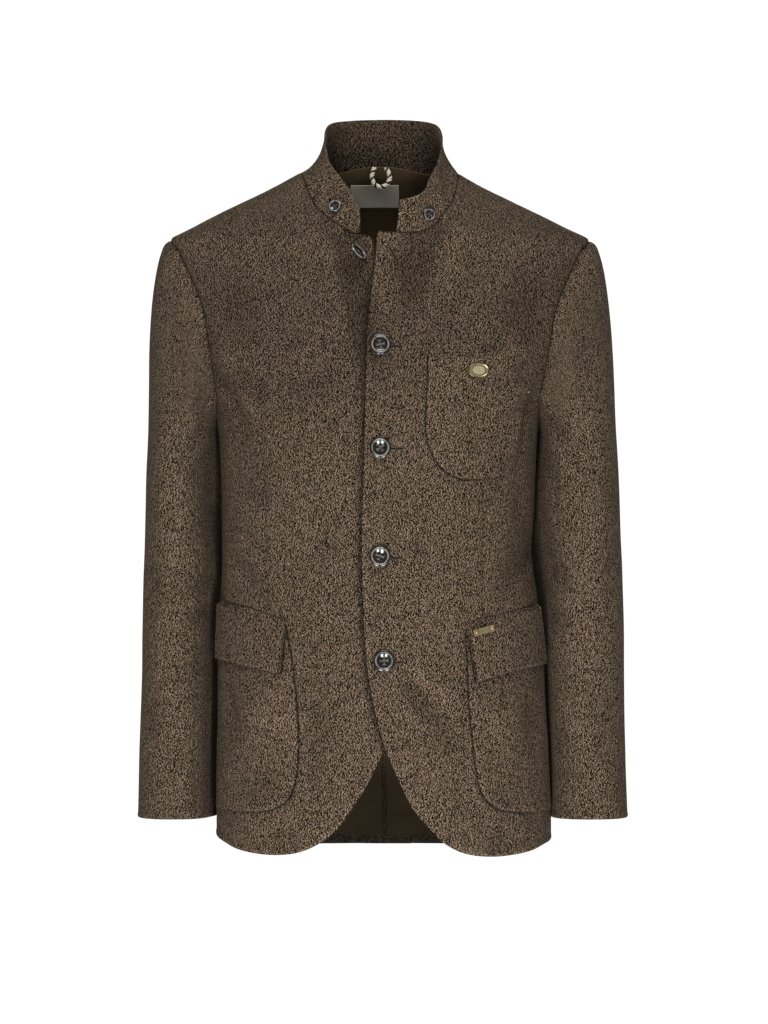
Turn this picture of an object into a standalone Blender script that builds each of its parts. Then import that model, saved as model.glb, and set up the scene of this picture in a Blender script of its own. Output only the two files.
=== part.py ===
"""Tyrolean loden jacket, filled out as if worn, with nobody in it.

Every cloth piece is a thin wall on one of three surfaces: the body surface, the two sleeve
surfaces and the collar band. Sizes are in millimetres here and in metres in the model.
+Z is up, the wearer faces -Y, and +X is the wearer's left. The origin is the middle of the
neck, at the height of the side neck points, where the wearer's shoulders hold the jacket up.
"""

import math

import bpy
from mathutils import Vector
from mathutils.geometry import delaunay_2d_cdt

# ---------------------------------------------------------------- driving sizes, millimetres
CLOTH = 2.4  # fulled loden, one layer
SEAM = 0.2  # each piece stops this far short of a seam line
LAP = 1.1  # air between two layers that lie on each other
LINING = 1.0
LINING_AIR = 1.7
LINING_RISE = 3.0  # the lining covers the neck seam from inside
CENTRE_Y = 5.0  # the shoulder line runs this far behind the origin
SIDE_SEAM = math.radians(97)  # angle of the side seam, from the front centre
HEM_BACK = -736.0
VENT_TOP = -520.0
VENT_LAP = 30.0
LINING_HEM = -728.0
COLLAR_WALL = 3.0
COLLAR_RISE = 1.0
COLLAR_OUT = 2.2  # the top edge stands this far outside its line
COLLAR_HOLLOW = 0.6, 4.0  # the band bends in between its edges, more at the sides
CUFF = -697.5
UNDERARM = -266.0
SHOULDER_POINT = -70.6
GRID_ACROSS = 21.0  # mesh of the large panels: columns this far apart, rows at these heights
LEVELS = (-700, -655, -608, -560, -512, -465, -420, -372, -322, -275, -234, -196, -160, -126, -98, -78, -62, -48, -34, -21, -9, 3)
EDGE_STEP = 22.0
SCYE_STEP = 15.0
DOMAIN = 150.0  # millimetres per radian, to lay a panel out flat

# Body sections: height, middle, half width, depth in front and behind, and squareness.
BODY_COLUMNS = ("z", "middle", "half", "front", "back", "square")
BODY = (
    (24, -2.0, 62, 26, 52, 2.3),
    (14, -2.5, 75, 32, 57, 2.3),
    (4, -4.0, 86, 37, 62, 2.3),
    (-2, -5.0, 95, 40, 66, 2.25),
    (-15, -5.5, 119, 44, 73, 2.2),
    (-28, -5.5, 146, 50, 80, 2.2),
    (-41, -5.0, 173, 59, 87, 2.2),
    (-54, -4.5, 199, 68, 92, 2.2),
    (-70, -3.0, 226, 78, 97, 2.25),
    (-92, -3.0, 221, 87, 104, 2.3),
    (-118, -3.0, 214, 98, 109, 2.35),
    (-148, -3.5, 207, 109, 113, 2.4),
    (-175, -4.0, 201, 116, 115, 2.4),
    (-202, -4.5, 194, 122, 116, 2.4),
    (-231, -5.0, 185, 127, 115, 2.4),
    (-256, -5.5, 177, 130, 112, 2.4),
    (-285, -5.0, 173.5, 131, 109, 2.4),
    (-331, -5.0, 171.5, 131, 105, 2.4),
    (-375, -6.0, 170.3, 129, 101, 2.4),
    (-410, -7.3, 168.8, 128, 99, 2.4),
    (-440, -5.8, 171, 129, 101, 2.4),
    (-484, -3.9, 175, 132, 107, 2.4),
    (-532, -1.9, 177.4, 136, 115, 2.4),
    (-571, -1.6, 178.4, 138, 120, 2.4),
    (-615, -1.0, 180, 140, 124, 2.4),
    (-691, 0.5, 181.6, 140, 130, 2.4),
    (-745, 0.8, 182, 139, 132, 2.4),
)

# Front edges: the left front laps over the right one.
EDGE_COLUMNS = ("x", "z")
EDGE_LEFT = (
    (-4.0, -64.6), (-6.0, -68.0), (-7.0, -80), (-11.9, -124), (-16.5, -165), (-18.6, -235), (-20.8, -320),
    (-23.0, -400), (-21.3, -466), (-18.6, -515), (-15.1, -544), (-9.0, -576), (0.7, -612.6),
    (15.4, -649), (32.4, -683), (49.5, -703), (66.7, -720), (88, -730.5), (115.7, -734.5),
    (140, -733.5), (161, -730), (176, -724.5),
)  # fmt: skip
EDGE_RIGHT = (
    (-16.5, -65.4), (-12.4, -68.8), (-10.4, -75), (-8.0, -90), (2, -120), (12, -155), (17, -195), (16, -300),
    (14, -400), (17, -470), (17.5, -515), (15.5, -544), (10, -576), (3.2, -612), (-13.8, -651),
    (-28.7, -675.6), (-48.1, -703), (-65.2, -717.5), (-86, -728), (-109.7, -732.5),
    (-136, -732), (-159, -728), (-174, -721.5),
)  # fmt: skip

# Neck opening, seen from above: a squared oval on the body surface.
NECK_MIDDLE, NECK_HALF = -3.5, 86.0
NECK_FRONT, NECK_BACK = 75.6, 57.5
NECK_SQUARE = 2.25, 2.75, 2.7  # in front on the right, in front on the left, and behind

# Armhole, as height and distance from the body's middle, in front and behind.
ARMHOLE_COLUMNS = ("z", "front", "back")
ARMHOLE = (
    (-80, 220.5, 220.5),
    (-92, 214.5, 215.0),
    (-118, 202.5, 205.0),
    (-148, 190.5, 197.0),
    (-173, 186.0, 192.0),
    (-196, 183.0, 187.5),
    (-220, 179.5, 182.0),
    (-243, 174.5, 176.5),
)

# Sleeve sections: height, inner and outer side of each arm, its front and back, and how far
# the inner side fills out behind the body's widest line.
SLEEVE_COLUMNS = ("z", "left_in", "left_out", "right_in", "right_out", "front", "back", "left_press", "right_press")
SLEEVE = (
    (-292, 173.5, 254.5, 186.0, 257.0, -66, 76, 8.5, 12.0),
    (-330, 172.5, 257.0, 191.0, 258.5, -66, 74, 10.0, 20.5),
    (-370, 173.5, 258.8, 191.0, 259.3, -65, 72, 15.0, 20.5),
    (-405, 177.5, 259.9, 187.5, 259.9, -65, 70, 21.0, 17.5),
    (-436, 179.5, 260.6, 184.0, 260.6, -65, 67, 21.0, 11.0),
    (-473, 178.5, 261.3, 188.0, 261.4, -66, 63, 11.0, 11.5),
    (-510, 178.5, 262.0, 188.5, 262.4, -66, 60, 5.5, 11.0),
    (-560, 180.5, 262.8, 189.5, 263.5, -67, 57, 6.0, 13.0),
    (-625, 182.5, 264.0, 190.5, 265.0, -68, 54, 4.5, 13.0),
    (CUFF, 182.4, 266.0, 188.5, 266.3, -68, 52, 0.3, 11.0),
)
SLEEVE_SQUARE = 2.25
PRESS_TURN = 0.61, 0.18  # the press is widest at this turn, and this far round to each side of it
# How the sleeve head leaves the armhole, round from the shoulder by the front to the underarm.
HEAD_COLUMNS = ("turn", "out", "forward", "up", "down")
HEAD = (
    (0.00, 86, 0, -14, 190),
    (0.12, 80, 22, -12, 170),
    (0.25, 52, 34, -10, 110),
    (0.38, 22, 22, -12, 50),
    (0.50, 8, 0, -6, 22),
    (0.62, 20, -20, -12, 50),
    (0.75, 46, -30, -10, 110),
    (0.88, 78, -20, -12, 170),
    (1.00, 86, 0, -14, 190),
)
SEAM_FRONT, SEAM_BACK = 0.36, 0.665  # where the two sleeve pieces join, as a share of a turn

# Collar band, from the right front end round the back to the left one: share of the neckline, then top edge.
COLLAR_COLUMNS = ("share", "x", "y", "z")
COLLAR_TOP = (
    (0.000, -24.6, -61.5, -36.5),
    (0.045, -30.5, -56.5, -27.5),
    (0.090, -38.5, -50.0, -13.5),
    (0.140, -48.5, -40.5, -0.5),
    (0.190, -56.5, -29.0, 12.0),
    (0.245, -60.0, -14.0, 25.5),
    (0.300, -61.5, 2.0, 43.0),
    (0.355, -60.0, 18.0, 54.0),
    (0.420, -53.0, 34.0, 60.5),
    (0.475, -36.0, 46.0, 63.5),
    (0.530, -14.0, 50.5, 64.8),
    (0.580, 8.0, 50.8, 65.0),
    (0.630, 30.0, 47.0, 64.0),
    (0.685, 48.0, 36.0, 61.0),
    (0.735, 58.0, 20.0, 55.0),
    (0.785, 62.5, 2.0, 42.0),
    (0.835, 61.5, -15.0, 24.0),
    (0.875, 57.0, -30.0, 9.5),
    (0.915, 49.5, -43.0, -4.5),
    (0.945, 44.2, -50.5, -18.5),
    (0.970, 34.0, -58.0, -25.5),
    (1.000, 17.6, -62.5, -30.5),
)
COLLAR_ENDS = (-25.2, 14.5)  # x of the two front ends, on the neckline

# Patch pockets and flaps on the fronts: the inner side and bottom edge, or the flap's outline.
POCKET_COLUMNS = ("x", "z")
POCKET_RIGHT = ((-104, -487), (-98.4, -515), (-94.9, -540), (-91, -576), (-89.5, -613), (-91.5, -645), (-96.5, -665), (-106, -678), (-121, -685), (-140, -687.5), (-158, -688))
POCKET_LEFT = ((88.5, -490), (87.2, -500), (89.7, -527), (91.1, -567), (95, -611), (98.2, -640), (103, -663), (112, -676), (125, -684.5), (142, -688), (160, -689.5))
FLAP_RIGHT_TOP = ((-103.5, -482.4), (-122, -476), (-147, -468), (-164, -464.5))
FLAP_RIGHT_LOW = ((-109, -539), (-134.4, -533), (-160, -527.5))
FLAP_LEFT_TOP = ((88.7, -484.3), (119.3, -477), (150, -470), (162, -467.5))
FLAP_LEFT_LOW = ((99, -547.5), (118.8, -542), (137, -537), (156, -533.5))
POCKET_SIDE = math.radians(75)
FLAP_SIDE = math.radians(72)
BREAST = (
    (47.7, -197.5), (75, -196.8), (101, -196), (128, -193.6), (151.5, -190.5), (153.5, -215), (154.5, -250), (154, -280),
    (150, -303), (141, -319), (128, -327.5), (108.4, -331), (83.2, -331), (66, -323.5), (52.5, -306), (45.5, -283),
    (46, -250), (47.4, -222),
)  # fmt: skip

# Buttons: place on the front, size, and what they lie on.
BUTTON_COLUMNS = ("name", "x", "z", "diameter", "lift")
BUTTONS = (
    ("button_1", -27.7, -90.3, 25.0, 11.8),
    ("button_2", -2.8, -186.9, 22.8, 1.0),
    ("button_3", -2.9, -297.4, 22.8, 1.0),
    ("button_4", -3.2, -413.1, 22.8, 1.0),
    ("button_5", 1.1, -524.7, 22.8, 1.0),
)
TIPPED = Vector((0.70, -0.38, 0.60)).normalized()  # the open top button leans on its thread
POCKET_AIR, FLAP_AIR = 1.2, 2.2
BUTTON_THICK = 3.6
COLLAR_BUTTON = 15.0
LABEL = ((17.7, -27.2), (17.7, -3.0), (-36.4, -3.0), (-36.4, -27.2))
LABEL_LAYER = -(CLOTH + LINING_AIR + LINING + 0.5)
LOOP_CORD = 5.6
LOOP_WAY = ((-9.5, 54.3, 12.5), (-12.2, 53.0, 4.0), (-11.0, 52.4, -3.0), (-7.0, 52.0, -7.5), (-2.0, 51.8, -8.8), (3.0, 52.0, -7.0), (7.0, 52.4, -1.5), (7.2, 53.0, 4.5), (3.5, 54.3, 12.5))

# ---------------------------------------------------------------- small tools


def lerp(a, b, t):
    return a + (b - a) * t


def smooth(t):
    t = min(1.0, max(0.0, t))
    return t * t * (3 - 2 * t)


def row_at(rows, key):
    """The rows' columns at a value of the first one, on smooth curves through the rows."""
    rows = sorted(rows)
    keys = [row[0] for row in rows]
    key = min(keys[-1], max(keys[0], key))
    i = max(k for k in range(len(rows) - 1) if keys[k] <= key)
    span = keys[i + 1] - keys[i]
    t = (key - keys[i]) / span
    out = []
    for c in range(1, len(rows[0])):

        def slope(k):
            low, high = max(0, k - 1), min(len(rows) - 1, k + 1)
            return (rows[high][c] - rows[low][c]) / (keys[high] - keys[low])

        a, b = rows[i][c], rows[i + 1][c]
        out.append(
            a * (1 + 2 * t) * (1 - t) ** 2
            + b * t * t * (3 - 2 * t)
            + span * (slope(i) * t * (1 - t) ** 2 - slope(i + 1) * t * t * (1 - t))
        )
    return out


def curve_through(points, parts=6):
    """A smooth line through a few points (centripetal Catmull-Rom), without its last point."""
    p = [Vector(q) for q in points]
    p = [2 * p[0] - p[1], *p, 2 * p[-1] - p[-2]]
    out = []
    for a, b, c, d in zip(p, p[1:], p[2:], p[3:]):
        t1 = math.sqrt((b - a).length)
        t2 = t1 + math.sqrt((c - b).length)
        t3 = t2 + math.sqrt((d - c).length)
        for k in range(parts):
            t = t1 + (t2 - t1) * k / parts
            ab = a * ((t1 - t) / t1) + b * (t / t1)
            bc = b * ((t2 - t) / (t2 - t1)) + c * ((t - t1) / (t2 - t1))
            cd = c * ((t3 - t) / (t3 - t2)) + d * ((t - t2) / (t3 - t2))
            abc = ab * ((t2 - t) / t2) + bc * (t / t2)
            bcd = bc * ((t3 - t) / (t3 - t1)) + cd * ((t - t1) / (t3 - t1))
            out.append(abc * ((t2 - t) / (t2 - t1)) + bcd * ((t - t1) / (t2 - t1)))
    return out


def spaced(line, step):
    """A polyline's points again, about a step apart, with both ends kept."""
    reach = [0.0]
    for a, b in zip(line, line[1:]):
        reach.append(reach[-1] + (b - a).length)
    count = max(1, round(reach[-1] / step))
    out, i = [], 0
    for k in range(count + 1):
        want = reach[-1] * k / count
        while i < len(line) - 2 and reach[i + 1] < want:
            i += 1
        span = reach[i + 1] - reach[i]
        out.append(line[i].lerp(line[i + 1], (want - reach[i]) / span if span else 0.0))
    return out


# ---------------------------------------------------------------- the body surface


def body_row(z):
    return dict(zip(BODY_COLUMNS[1:], row_at(BODY, z)))


def body(theta, z):
    """A point of the outer cloth face. theta is 0 at the front centre, positive to the wearer's left."""
    row = body_row(z)
    s, c, n = math.sin(theta), math.cos(theta), row["square"]
    r = (abs(s) ** n + abs(c) ** n) ** (-1 / n)
    depth = row["front"] if c > 0 else row["back"]
    return Vector((row["middle"] + row["half"] * r * s, CENTRE_Y - depth * r * c, z))


def body_normal(theta, z):
    across = body(theta + 0.01, z) - body(theta - 0.01, z)
    up = body(theta, z + 1.5) - body(theta, z - 1.5)
    return across.cross(up).normalized()


def theta_of(x, z, behind=False):
    """The angle at which the body surface has this x at this height."""
    row = body_row(z)
    t = min(0.99999, abs(x - row["middle"]) / row["half"]) ** row["square"]
    theta = math.atan((t / (1 - t)) ** (1 / row["square"]))
    if behind:
        theta = math.pi - theta
    return math.copysign(theta, x - row["middle"])


def flat(theta, z):
    return Vector((theta * DOMAIN, z))


def front_line(points, parts=6):
    return [flat(theta_of(p.x, p.y), p.y) for p in curve_through(points, parts)]


def lifted(p, height):
    theta, z = p.x / DOMAIN, p.y
    return body(theta, z) + body_normal(theta, z) * height


def armhole_half(side, column, behind):
    """From the shoulder point to the underarm, flat."""
    line = [flat(side * math.pi / 2, SHOULDER_POINT)]
    line.append(flat(side * math.radians(96 if behind else 84), SHOULDER_POINT - 3.2))
    for k in range(0, 27):
        z = lerp(ARMHOLE[0][0], ARMHOLE[-1][0], k / 26)
        x = row_at(ARMHOLE, z)[column]
        line.append(flat(theta_of(body_row(z)["middle"] + side * x, z, behind), z))
    return line


def scye(side, behind):
    """One half of the armhole, from the shoulder point to the side seam, in even steps."""
    column = 1 if behind else 0
    return spaced(armhole_half(side, column, behind)[:-1] + underarm(side, column, behind), SCYE_STEP)


def underarm(side, column, behind):
    """The rest of the armhole, down to the side seam."""
    start = armhole_half(side, column, behind)[-1]
    end = flat(side * SIDE_SEAM, UNDERARM)
    middle = Vector((lerp(start.x, end.x, 0.5), UNDERARM + 5.5))
    return curve_through([start, middle, end], 4) + [end]


def inset(outline, distance):
    """Moves a closed flat outline inwards by a true distance on the body surface."""
    turn = sum(a.x * b.y - b.x * a.y for a, b in zip(outline, outline[1:] + outline[:1]))
    out = []
    for i, p in enumerate(outline):
        before, after = outline[i - 1], outline[(i + 1) % len(outline)]
        theta, z = p.x / DOMAIN, p.y
        du = (body(theta + 0.005, z) - body(theta - 0.005, z)) / (0.01 * DOMAIN)
        dv = (body(theta, z + 1) - body(theta, z - 1)) / 2
        move = Vector((0.0, 0.0))
        for a, b in ((before, p), (p, after)):
            along = du * (b.x - a.x) + dv * (b.y - a.y)
            if along.length < 1e-6:
                continue
            inwards = du.cross(dv).normalized().cross(along.normalized()) * (1 if turn > 0 else -1)
            uu, uv, vv = du.dot(du), du.dot(dv), dv.dot(dv)
            iu, iv = inwards.dot(du), inwards.dot(dv)
            det = uu * vv - uv * uv
            move += Vector(((iu * vv - iv * uv) / det, (iv * uu - iu * uv) / det))
        out.append(p + move * (distance / 2))
    return out


def resample(sides, step):
    """Joins open flat lines into one closed outline, with points a step apart."""
    out = []
    for line in sides:
        out += spaced(line, step)[:-1]
    return out


def filled(outline, across, levels):
    """Triangles that fill a flat outline, with rows of points inside it at the given heights."""
    low, high = min(p.x for p in outline), max(p.x for p in outline)
    points, n = list(outline), len(outline)
    edges = [(i, (i + 1) % n) for i in range(n)]
    columns = max(1, round((high - low) / across))
    for k, z in enumerate(levels):
        down = abs(levels[k] - levels[k - 1]) if k else abs(levels[1] - levels[0])
        for i in range(1, columns):
            p = Vector((lerp(low, high, i / columns), z))
            if inside(p, outline) and min(near(p, outline[k], outline[(k + 1) % n], across, down) for k in range(n)) > 0.42:
                points.append(p)
    verts, _, faces, *_ = delaunay_2d_cdt(points, edges, [], 0, 1e-6, False)
    verts = [Vector(v) for v in verts]
    kept = []
    for f in faces:
        a, b, c = (verts[i] for i in f)
        if abs((b - a).cross(c - a)) > 0.05 and inside((a + b + c) / 3, outline):
            kept.append(tuple(f))
    used = sorted({i for f in kept for i in f})
    index = {i: k for k, i in enumerate(used)}
    return [verts[i] for i in used], [tuple(index[i] for i in f) for f in kept]


def inside(p, outline):
    found = False
    for a, b in zip(outline, outline[1:] + outline[:1]):
        if (a.y > p.y) != (b.y > p.y) and p.x < (b.x - a.x) * (p.y - a.y) / (b.y - a.y) + a.x:
            found = not found
    return found


def near(p, a, b, across, down):
    """Distance from a point to an edge, in grid steps."""
    scale = Vector((1 / across, 1 / down))
    p, a, b = p * scale, a * scale, b * scale
    ab = b - a
    t = min(1.0, max(0.0, (p - a).dot(ab) / max(ab.dot(ab), 1e-9)))
    return (p - a - ab * t).length


# ---------------------------------------------------------------- making objects


def material(name, colour, roughness, metallic=0.0):
    mat = bpy.data.materials.get(name) or bpy.data.materials.new(name)
    mat.use_nodes = True
    shader = mat.node_tree.nodes["Principled BSDF"]
    shader.inputs["Base Color"].default_value = (*colour, 1.0)
    shader.inputs["Roughness"].default_value = roughness
    shader.inputs["Metallic"].default_value = metallic
    return mat


LODEN = ("loden", (0.085, 0.058, 0.038), 0.95)
SATIN = ("satin", (0.055, 0.036, 0.019), 0.5)
HORN = ("horn", (0.02, 0.014, 0.01), 0.3)
BRASS = ("brass", (0.55, 0.42, 0.22), 0.35, 1.0)
ENAMEL = ("enamel", (0.62, 0.55, 0.40), 0.35)
WOVEN = ("woven_label", (0.28, 0.27, 0.24), 0.8)
CORD = ("cord", (0.30, 0.25, 0.18), 0.8)


def make(name, points, faces, finish):
    """A closed mesh, turned the right way out."""
    middle = sum(points, Vector((0, 0, 0))) / len(points)
    volume = 0.0
    for face in faces:
        corners = [points[i] - middle for i in face]
        for b, c in zip(corners[1:], corners[2:]):
            volume += corners[0].dot(b.cross(c))
    if volume < 0:
        faces = [tuple(reversed(face)) for face in faces]
    mesh = bpy.data.meshes.new(name)
    mesh.from_pydata([tuple(p * 0.001) for p in points], [], faces)
    mesh.update()
    mesh.shade_smooth()
    mesh.set_sharp_from_angle(angle=math.radians(40))
    mesh.materials.append(material(*finish))
    obj = bpy.data.objects.new(name, mesh)
    bpy.context.scene.collection.objects.link(obj)
    return obj


def wall(name, outer, inner, faces, finish):
    """A closed wall from an outer face, an inner face with the same triangles, and a rim."""
    n = len(outer)
    ends = {}
    for f in faces:
        for a, b in zip(f, f[1:] + f[:1]):
            ends[(a, b)] = f
    rim = [(b, a) for a, b in ends if (b, a) not in ends]
    shell = [tuple(f) for f in faces] + [tuple(i + n for i in reversed(f)) for f in faces]
    shell += [(a, b, b + n) for a, b in rim] + [(a, b + n, a + n) for a, b in rim]
    return make(name, list(outer) + list(inner), shell, finish)


def panel(name, outline, layer, thick, finish=LODEN, across=GRID_ACROSS, levels=LEVELS):
    """A cloth piece on the body surface. layer(p) is the height of its outer face."""
    verts, faces = filled(outline, across, levels)
    heights = [layer(p) for p in verts]
    outer = [lifted(p, h) for p, h in zip(verts, heights)]
    inner = [lifted(p, h - thick) for p, h in zip(verts, heights)]
    return wall(name, outer, inner, faces, finish)


def strip_faces(rows, columns):
    faces = []
    for j in range(rows - 1):
        for i in range(columns - 1):
            a, b = j * columns + i, j * columns + i + 1
            c, d = a + columns, b + columns
            faces += [(a, b, d), (a, d, c)]
    return faces


# ---------------------------------------------------------------- body panels


def edge_left_x(z):
    """Where the lapping edge of the left front is, at one height."""
    rows = [(p[1], p[0]) for p in EDGE_LEFT]
    return row_at(rows, z)[0]


def under_lap(p):
    """The right front sinks under the left one, near the left one's edge."""
    theta, z = p.x / DOMAIN, p.y
    x = body(theta, z).x
    return -(CLOTH + LAP) * smooth((x - edge_left_x(z) + 32) / 26)


def neck_point(angle):
    """The neckline, flat. angle is seen from above: 0 at the front centre, positive to the wearer's left."""
    s, c = math.sin(angle), math.cos(angle)
    depth, n = (NECK_FRONT, NECK_SQUARE[1 if s > 0 else 0]) if c > 0 else (NECK_BACK, NECK_SQUARE[2])
    r = (abs(s) ** n + abs(c) ** n) ** (-1 / n)
    x, y = NECK_MIDDLE + NECK_HALF * r * s, -depth * r * c
    low, high = -90.0, 23.0
    for _ in range(40):
        z = (low + high) / 2
        row = body_row(z)
        across = abs(x - row["middle"]) / row["half"]
        deep = abs(y) / (row["front"] if y < 0 else row["back"])
        if across ** row["square"] + deep ** row["square"] < 1:
            low = z
        else:
            high = z
    row = body_row(z)
    theta = math.atan2((x - row["middle"]) / row["half"], -y / row["front" if c > 0 else "back"])
    theta += 2 * math.pi * round((angle - theta) / (2 * math.pi))
    return flat(theta, z)


def neck_arc(first, last, count):
    """Neckline points between two angles, at even steps."""
    return [neck_point(lerp(first, last, i / (count - 1))) for i in range(count)]


def neck_angle(x):
    """The angle at which the front neckline has this x."""
    low, high = -math.pi / 2, math.pi / 2
    for _ in range(40):
        angle = (low + high) / 2
        s, c = math.sin(angle), math.cos(angle)
        n = NECK_SQUARE[1 if s > 0 else 0]
        if NECK_MIDDLE + NECK_HALF * s * (abs(s) ** n + abs(c) ** n) ** (-1 / n) < x:
            low = angle
        else:
            high = angle
    return angle


def shoulder_line(side):
    top = neck_point(side * math.pi / 2).y
    return [flat(side * math.pi / 2, lerp(SHOULDER_POINT, top, k / 5)) for k in range(6)]


def front_outline(side, edge):
    bottom = flat(side * SIDE_SEAM, -719.0 if side > 0 else -713.0)
    hem = front_line(edge, 4) + [flat(theta_of(edge[-1][0], edge[-1][1]), edge[-1][1]), bottom]
    seam = [bottom, flat(side * SIDE_SEAM, UNDERARM)]
    shoulder = shoulder_line(side)
    neck = neck_arc(side * math.pi / 2, neck_angle(edge[0][0]), 13)
    neck[-1] = flat(theta_of(*edge[0]), edge[0][1])
    outline = spaced(hem, EDGE_STEP * 0.7)[:-1] + spaced(seam, 45)[:-1] + scye(side, False)[::-1][:-1]
    outline += spaced(shoulder, EDGE_STEP)[:-1] + neck[:-1]
    return inset(outline, SEAM)


def back_outline(side, lap):
    hem = []
    for k in range(9):
        share = k / 8
        start = -719 if side > 0 else -713
        hem.append(flat(side * lerp(SIDE_SEAM, math.pi, share), lerp(start, HEM_BACK, smooth(share * 1.4))))
    hem.reverse()
    top = flat(side * math.pi, neck_point(side * math.pi).y)
    if lap:
        past = side * (math.pi * DOMAIN + lap * DOMAIN / body_row(-600)["half"])
        corners = [top, flat(side * math.pi, VENT_TOP), Vector((past, VENT_TOP - 14)), Vector((past, HEM_BACK)), hem[0]]
    else:
        corners = [top, flat(side * math.pi, VENT_TOP), hem[0]]
    outline = []
    for a, b in zip(corners, corners[1:]):
        outline += spaced([a, b], 40)[:-1]
    seam = [hem[-1], flat(side * SIDE_SEAM, UNDERARM)]
    outline += spaced(hem, EDGE_STEP)[:-1] + spaced(seam, 45)[:-1] + scye(side, True)[::-1][:-1]
    outline += spaced(shoulder_line(side), EDGE_STEP)[:-1] + neck_arc(side * math.pi / 2, side * math.pi, 11)[:-1]
    return inset(outline, SEAM)


def vent_sink(p):
    """The right back's vent flap lies inside the left back."""
    z = p.y
    past = (abs(p.x) - math.pi * DOMAIN) + 28
    return -(CLOTH + LAP) * smooth(past / 24) * smooth((VENT_TOP + 34 - z) / 30)


def lining_layer(p):
    """Inside the back cloth, and inside the vent flap where that lies under."""
    away = abs(abs(p.x) - math.pi * DOMAIN)
    near_vent = smooth((75 - away) / 28) * smooth((VENT_TOP + 75 - p.y) / 35)
    return -(CLOTH + LINING_AIR) - (CLOTH + LAP + 0.3) * near_vent


def lining_outline():
    """One piece from side seam to side seam round the back, with a slit at the vent. The back centre is at pi."""
    whole = 2 * math.pi * DOMAIN
    slit, slit_top = math.pi * DOMAIN - 2.6, VENT_TOP + 20
    side = SIDE_SEAM + 0.03
    scye_line = [p + Vector((3.2, 2.5)) for p in scye(1, True)[::-1][1:-4]]
    left = [flat(side, -712), flat(side, UNDERARM - 4), *scye_line, flat(math.radians(98), -66)]
    neck = [p + Vector((0, LINING_RISE)) for p in neck_arc(math.radians(96), math.pi, 9)[:-1]]
    half = left + neck
    right = [Vector((whole - p.x, p.y)) for p in half[::-1]]
    right[-1] = flat(2 * math.pi - side, -706)
    lines = [half + [flat(math.pi, neck_point(math.pi).y + LINING_RISE)] + right]
    lines.append([right[-1], Vector((slit + 3.4, LINING_HEM))])
    lines.append([Vector((slit + 3.4, LINING_HEM)), Vector((slit + 3.4, slit_top))])
    lines.append([Vector((slit + 3.4, slit_top)), Vector((slit, slit_top))])
    lines.append([Vector((slit, slit_top)), Vector((slit, LINING_HEM))])
    lines.append([Vector((slit, LINING_HEM)), half[0]])
    return resample(lines, 26)


# ---------------------------------------------------------------- sleeves


def sleeve_ring(side, z, turn):
    """A point of the sleeve below its head. turn is 0 on the outer side and 0.25 at the front."""
    row = dict(zip(SLEEVE_COLUMNS[1:], row_at(SLEEVE, z)))
    name = "left" if side > 0 else "right"
    near_body, far = row[name + "_in"], row[name + "_out"]
    a = 2 * math.pi * turn
    c, s, n = math.cos(a), math.sin(a), SLEEVE_SQUARE
    r = (abs(c) ** n + abs(s) ** n) ** (-1 / n)
    press = math.cos(max(-1.0, min(1.0, (turn % 1.0 - PRESS_TURN[0]) / PRESS_TURN[1])) * math.pi / 2) ** 2
    x = (near_body + far) / 2 + (far - near_body) / 2 * r * c - row[name + "_press"] * press
    y = (row["front"] + row["back"]) / 2 - (row["back"] - row["front"]) / 2 * r * s
    return Vector((side * x, y, z))


def armhole_lines(side):
    """The armhole in space: shoulder to underarm by the front, then by the back."""
    return [[lifted(p, 0.0) for p in scye(side, behind)] for behind in (False, True)]


def along(line, share):
    reach = [0.0]
    for a, b in zip(line, line[1:]):
        reach.append(reach[-1] + (b - a).length)
    want = reach[-1] * share
    i = max(k for k in range(len(line) - 1) if reach[k] <= want + 1e-9)
    return line[i].lerp(line[i + 1], (want - reach[i]) / (reach[i + 1] - reach[i]))


def sleeve(side, lines, turn, share):
    """A point of the whole sleeve. share runs from 0 at the armhole through 1 at the tube's top to 2 at the cuff."""
    top = SLEEVE[0][0]
    if share >= 1:
        return sleeve_ring(side, lerp(top, CUFF, share - 1), turn)
    turn = turn % 1.0
    start = along(lines[0], turn * 2) if turn <= 0.5 else along(lines[1], (1 - turn) * 2)
    row = dict(zip(HEAD_COLUMNS[1:], row_at(HEAD, turn)))
    end = sleeve_ring(side, top, turn)
    leave = Vector((side * row["out"], -row["forward"], row["up"]))
    start = start + leave.normalized() * (SEAM + 0.15)
    arrive = (sleeve_ring(side, top - 8, turn) - end).normalized() * row["down"]
    t = share
    h00, h10 = (1 + 2 * t) * (1 - t) ** 2, t * (1 - t) ** 2
    h01, h11 = t * t * (3 - 2 * t), t * t * (t - 1)
    return start * h00 + leave * h10 + end * h01 + arrive * h11


def sleeve_piece(name, side, first, last, columns):
    lines = armhole_lines(side)
    shares = [0.0, 0.12, 0.27, 0.46, 0.66, 0.84, 1.0] + [1 + k / 6 for k in range(1, 7)]
    gap = 0.0009
    turns = [lerp(first + gap, last - gap, i / (columns - 1)) for i in range(columns)]
    outer, inner = [], []
    for share in shares:
        for turn in turns:
            p = sleeve(side, lines, turn, share)
            low, high = max(0.0, share - 0.004), min(2.0, share + 0.004)
            down = sleeve(side, lines, turn, high) - sleeve(side, lines, turn, low)
            round_ = sleeve(side, lines, turn + 0.004, share) - sleeve(side, lines, turn - 0.004, share)
            normal = round_.cross(down).normalized() * side
            outer.append(p)
            inner.append(p - normal * CLOTH)
    return wall(name, outer, inner, strip_faces(len(shares), columns), LODEN)


# ---------------------------------------------------------------- collar


def neckline():
    """The neckline in space, from the collar's right front end round the back to its left one."""
    first, last = neck_angle(COLLAR_ENDS[0]), neck_angle(COLLAR_ENDS[1])
    return [lifted(neck_point(lerp(first, last - 2 * math.pi, i / 120)), 0.0) for i in range(121)]


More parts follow.
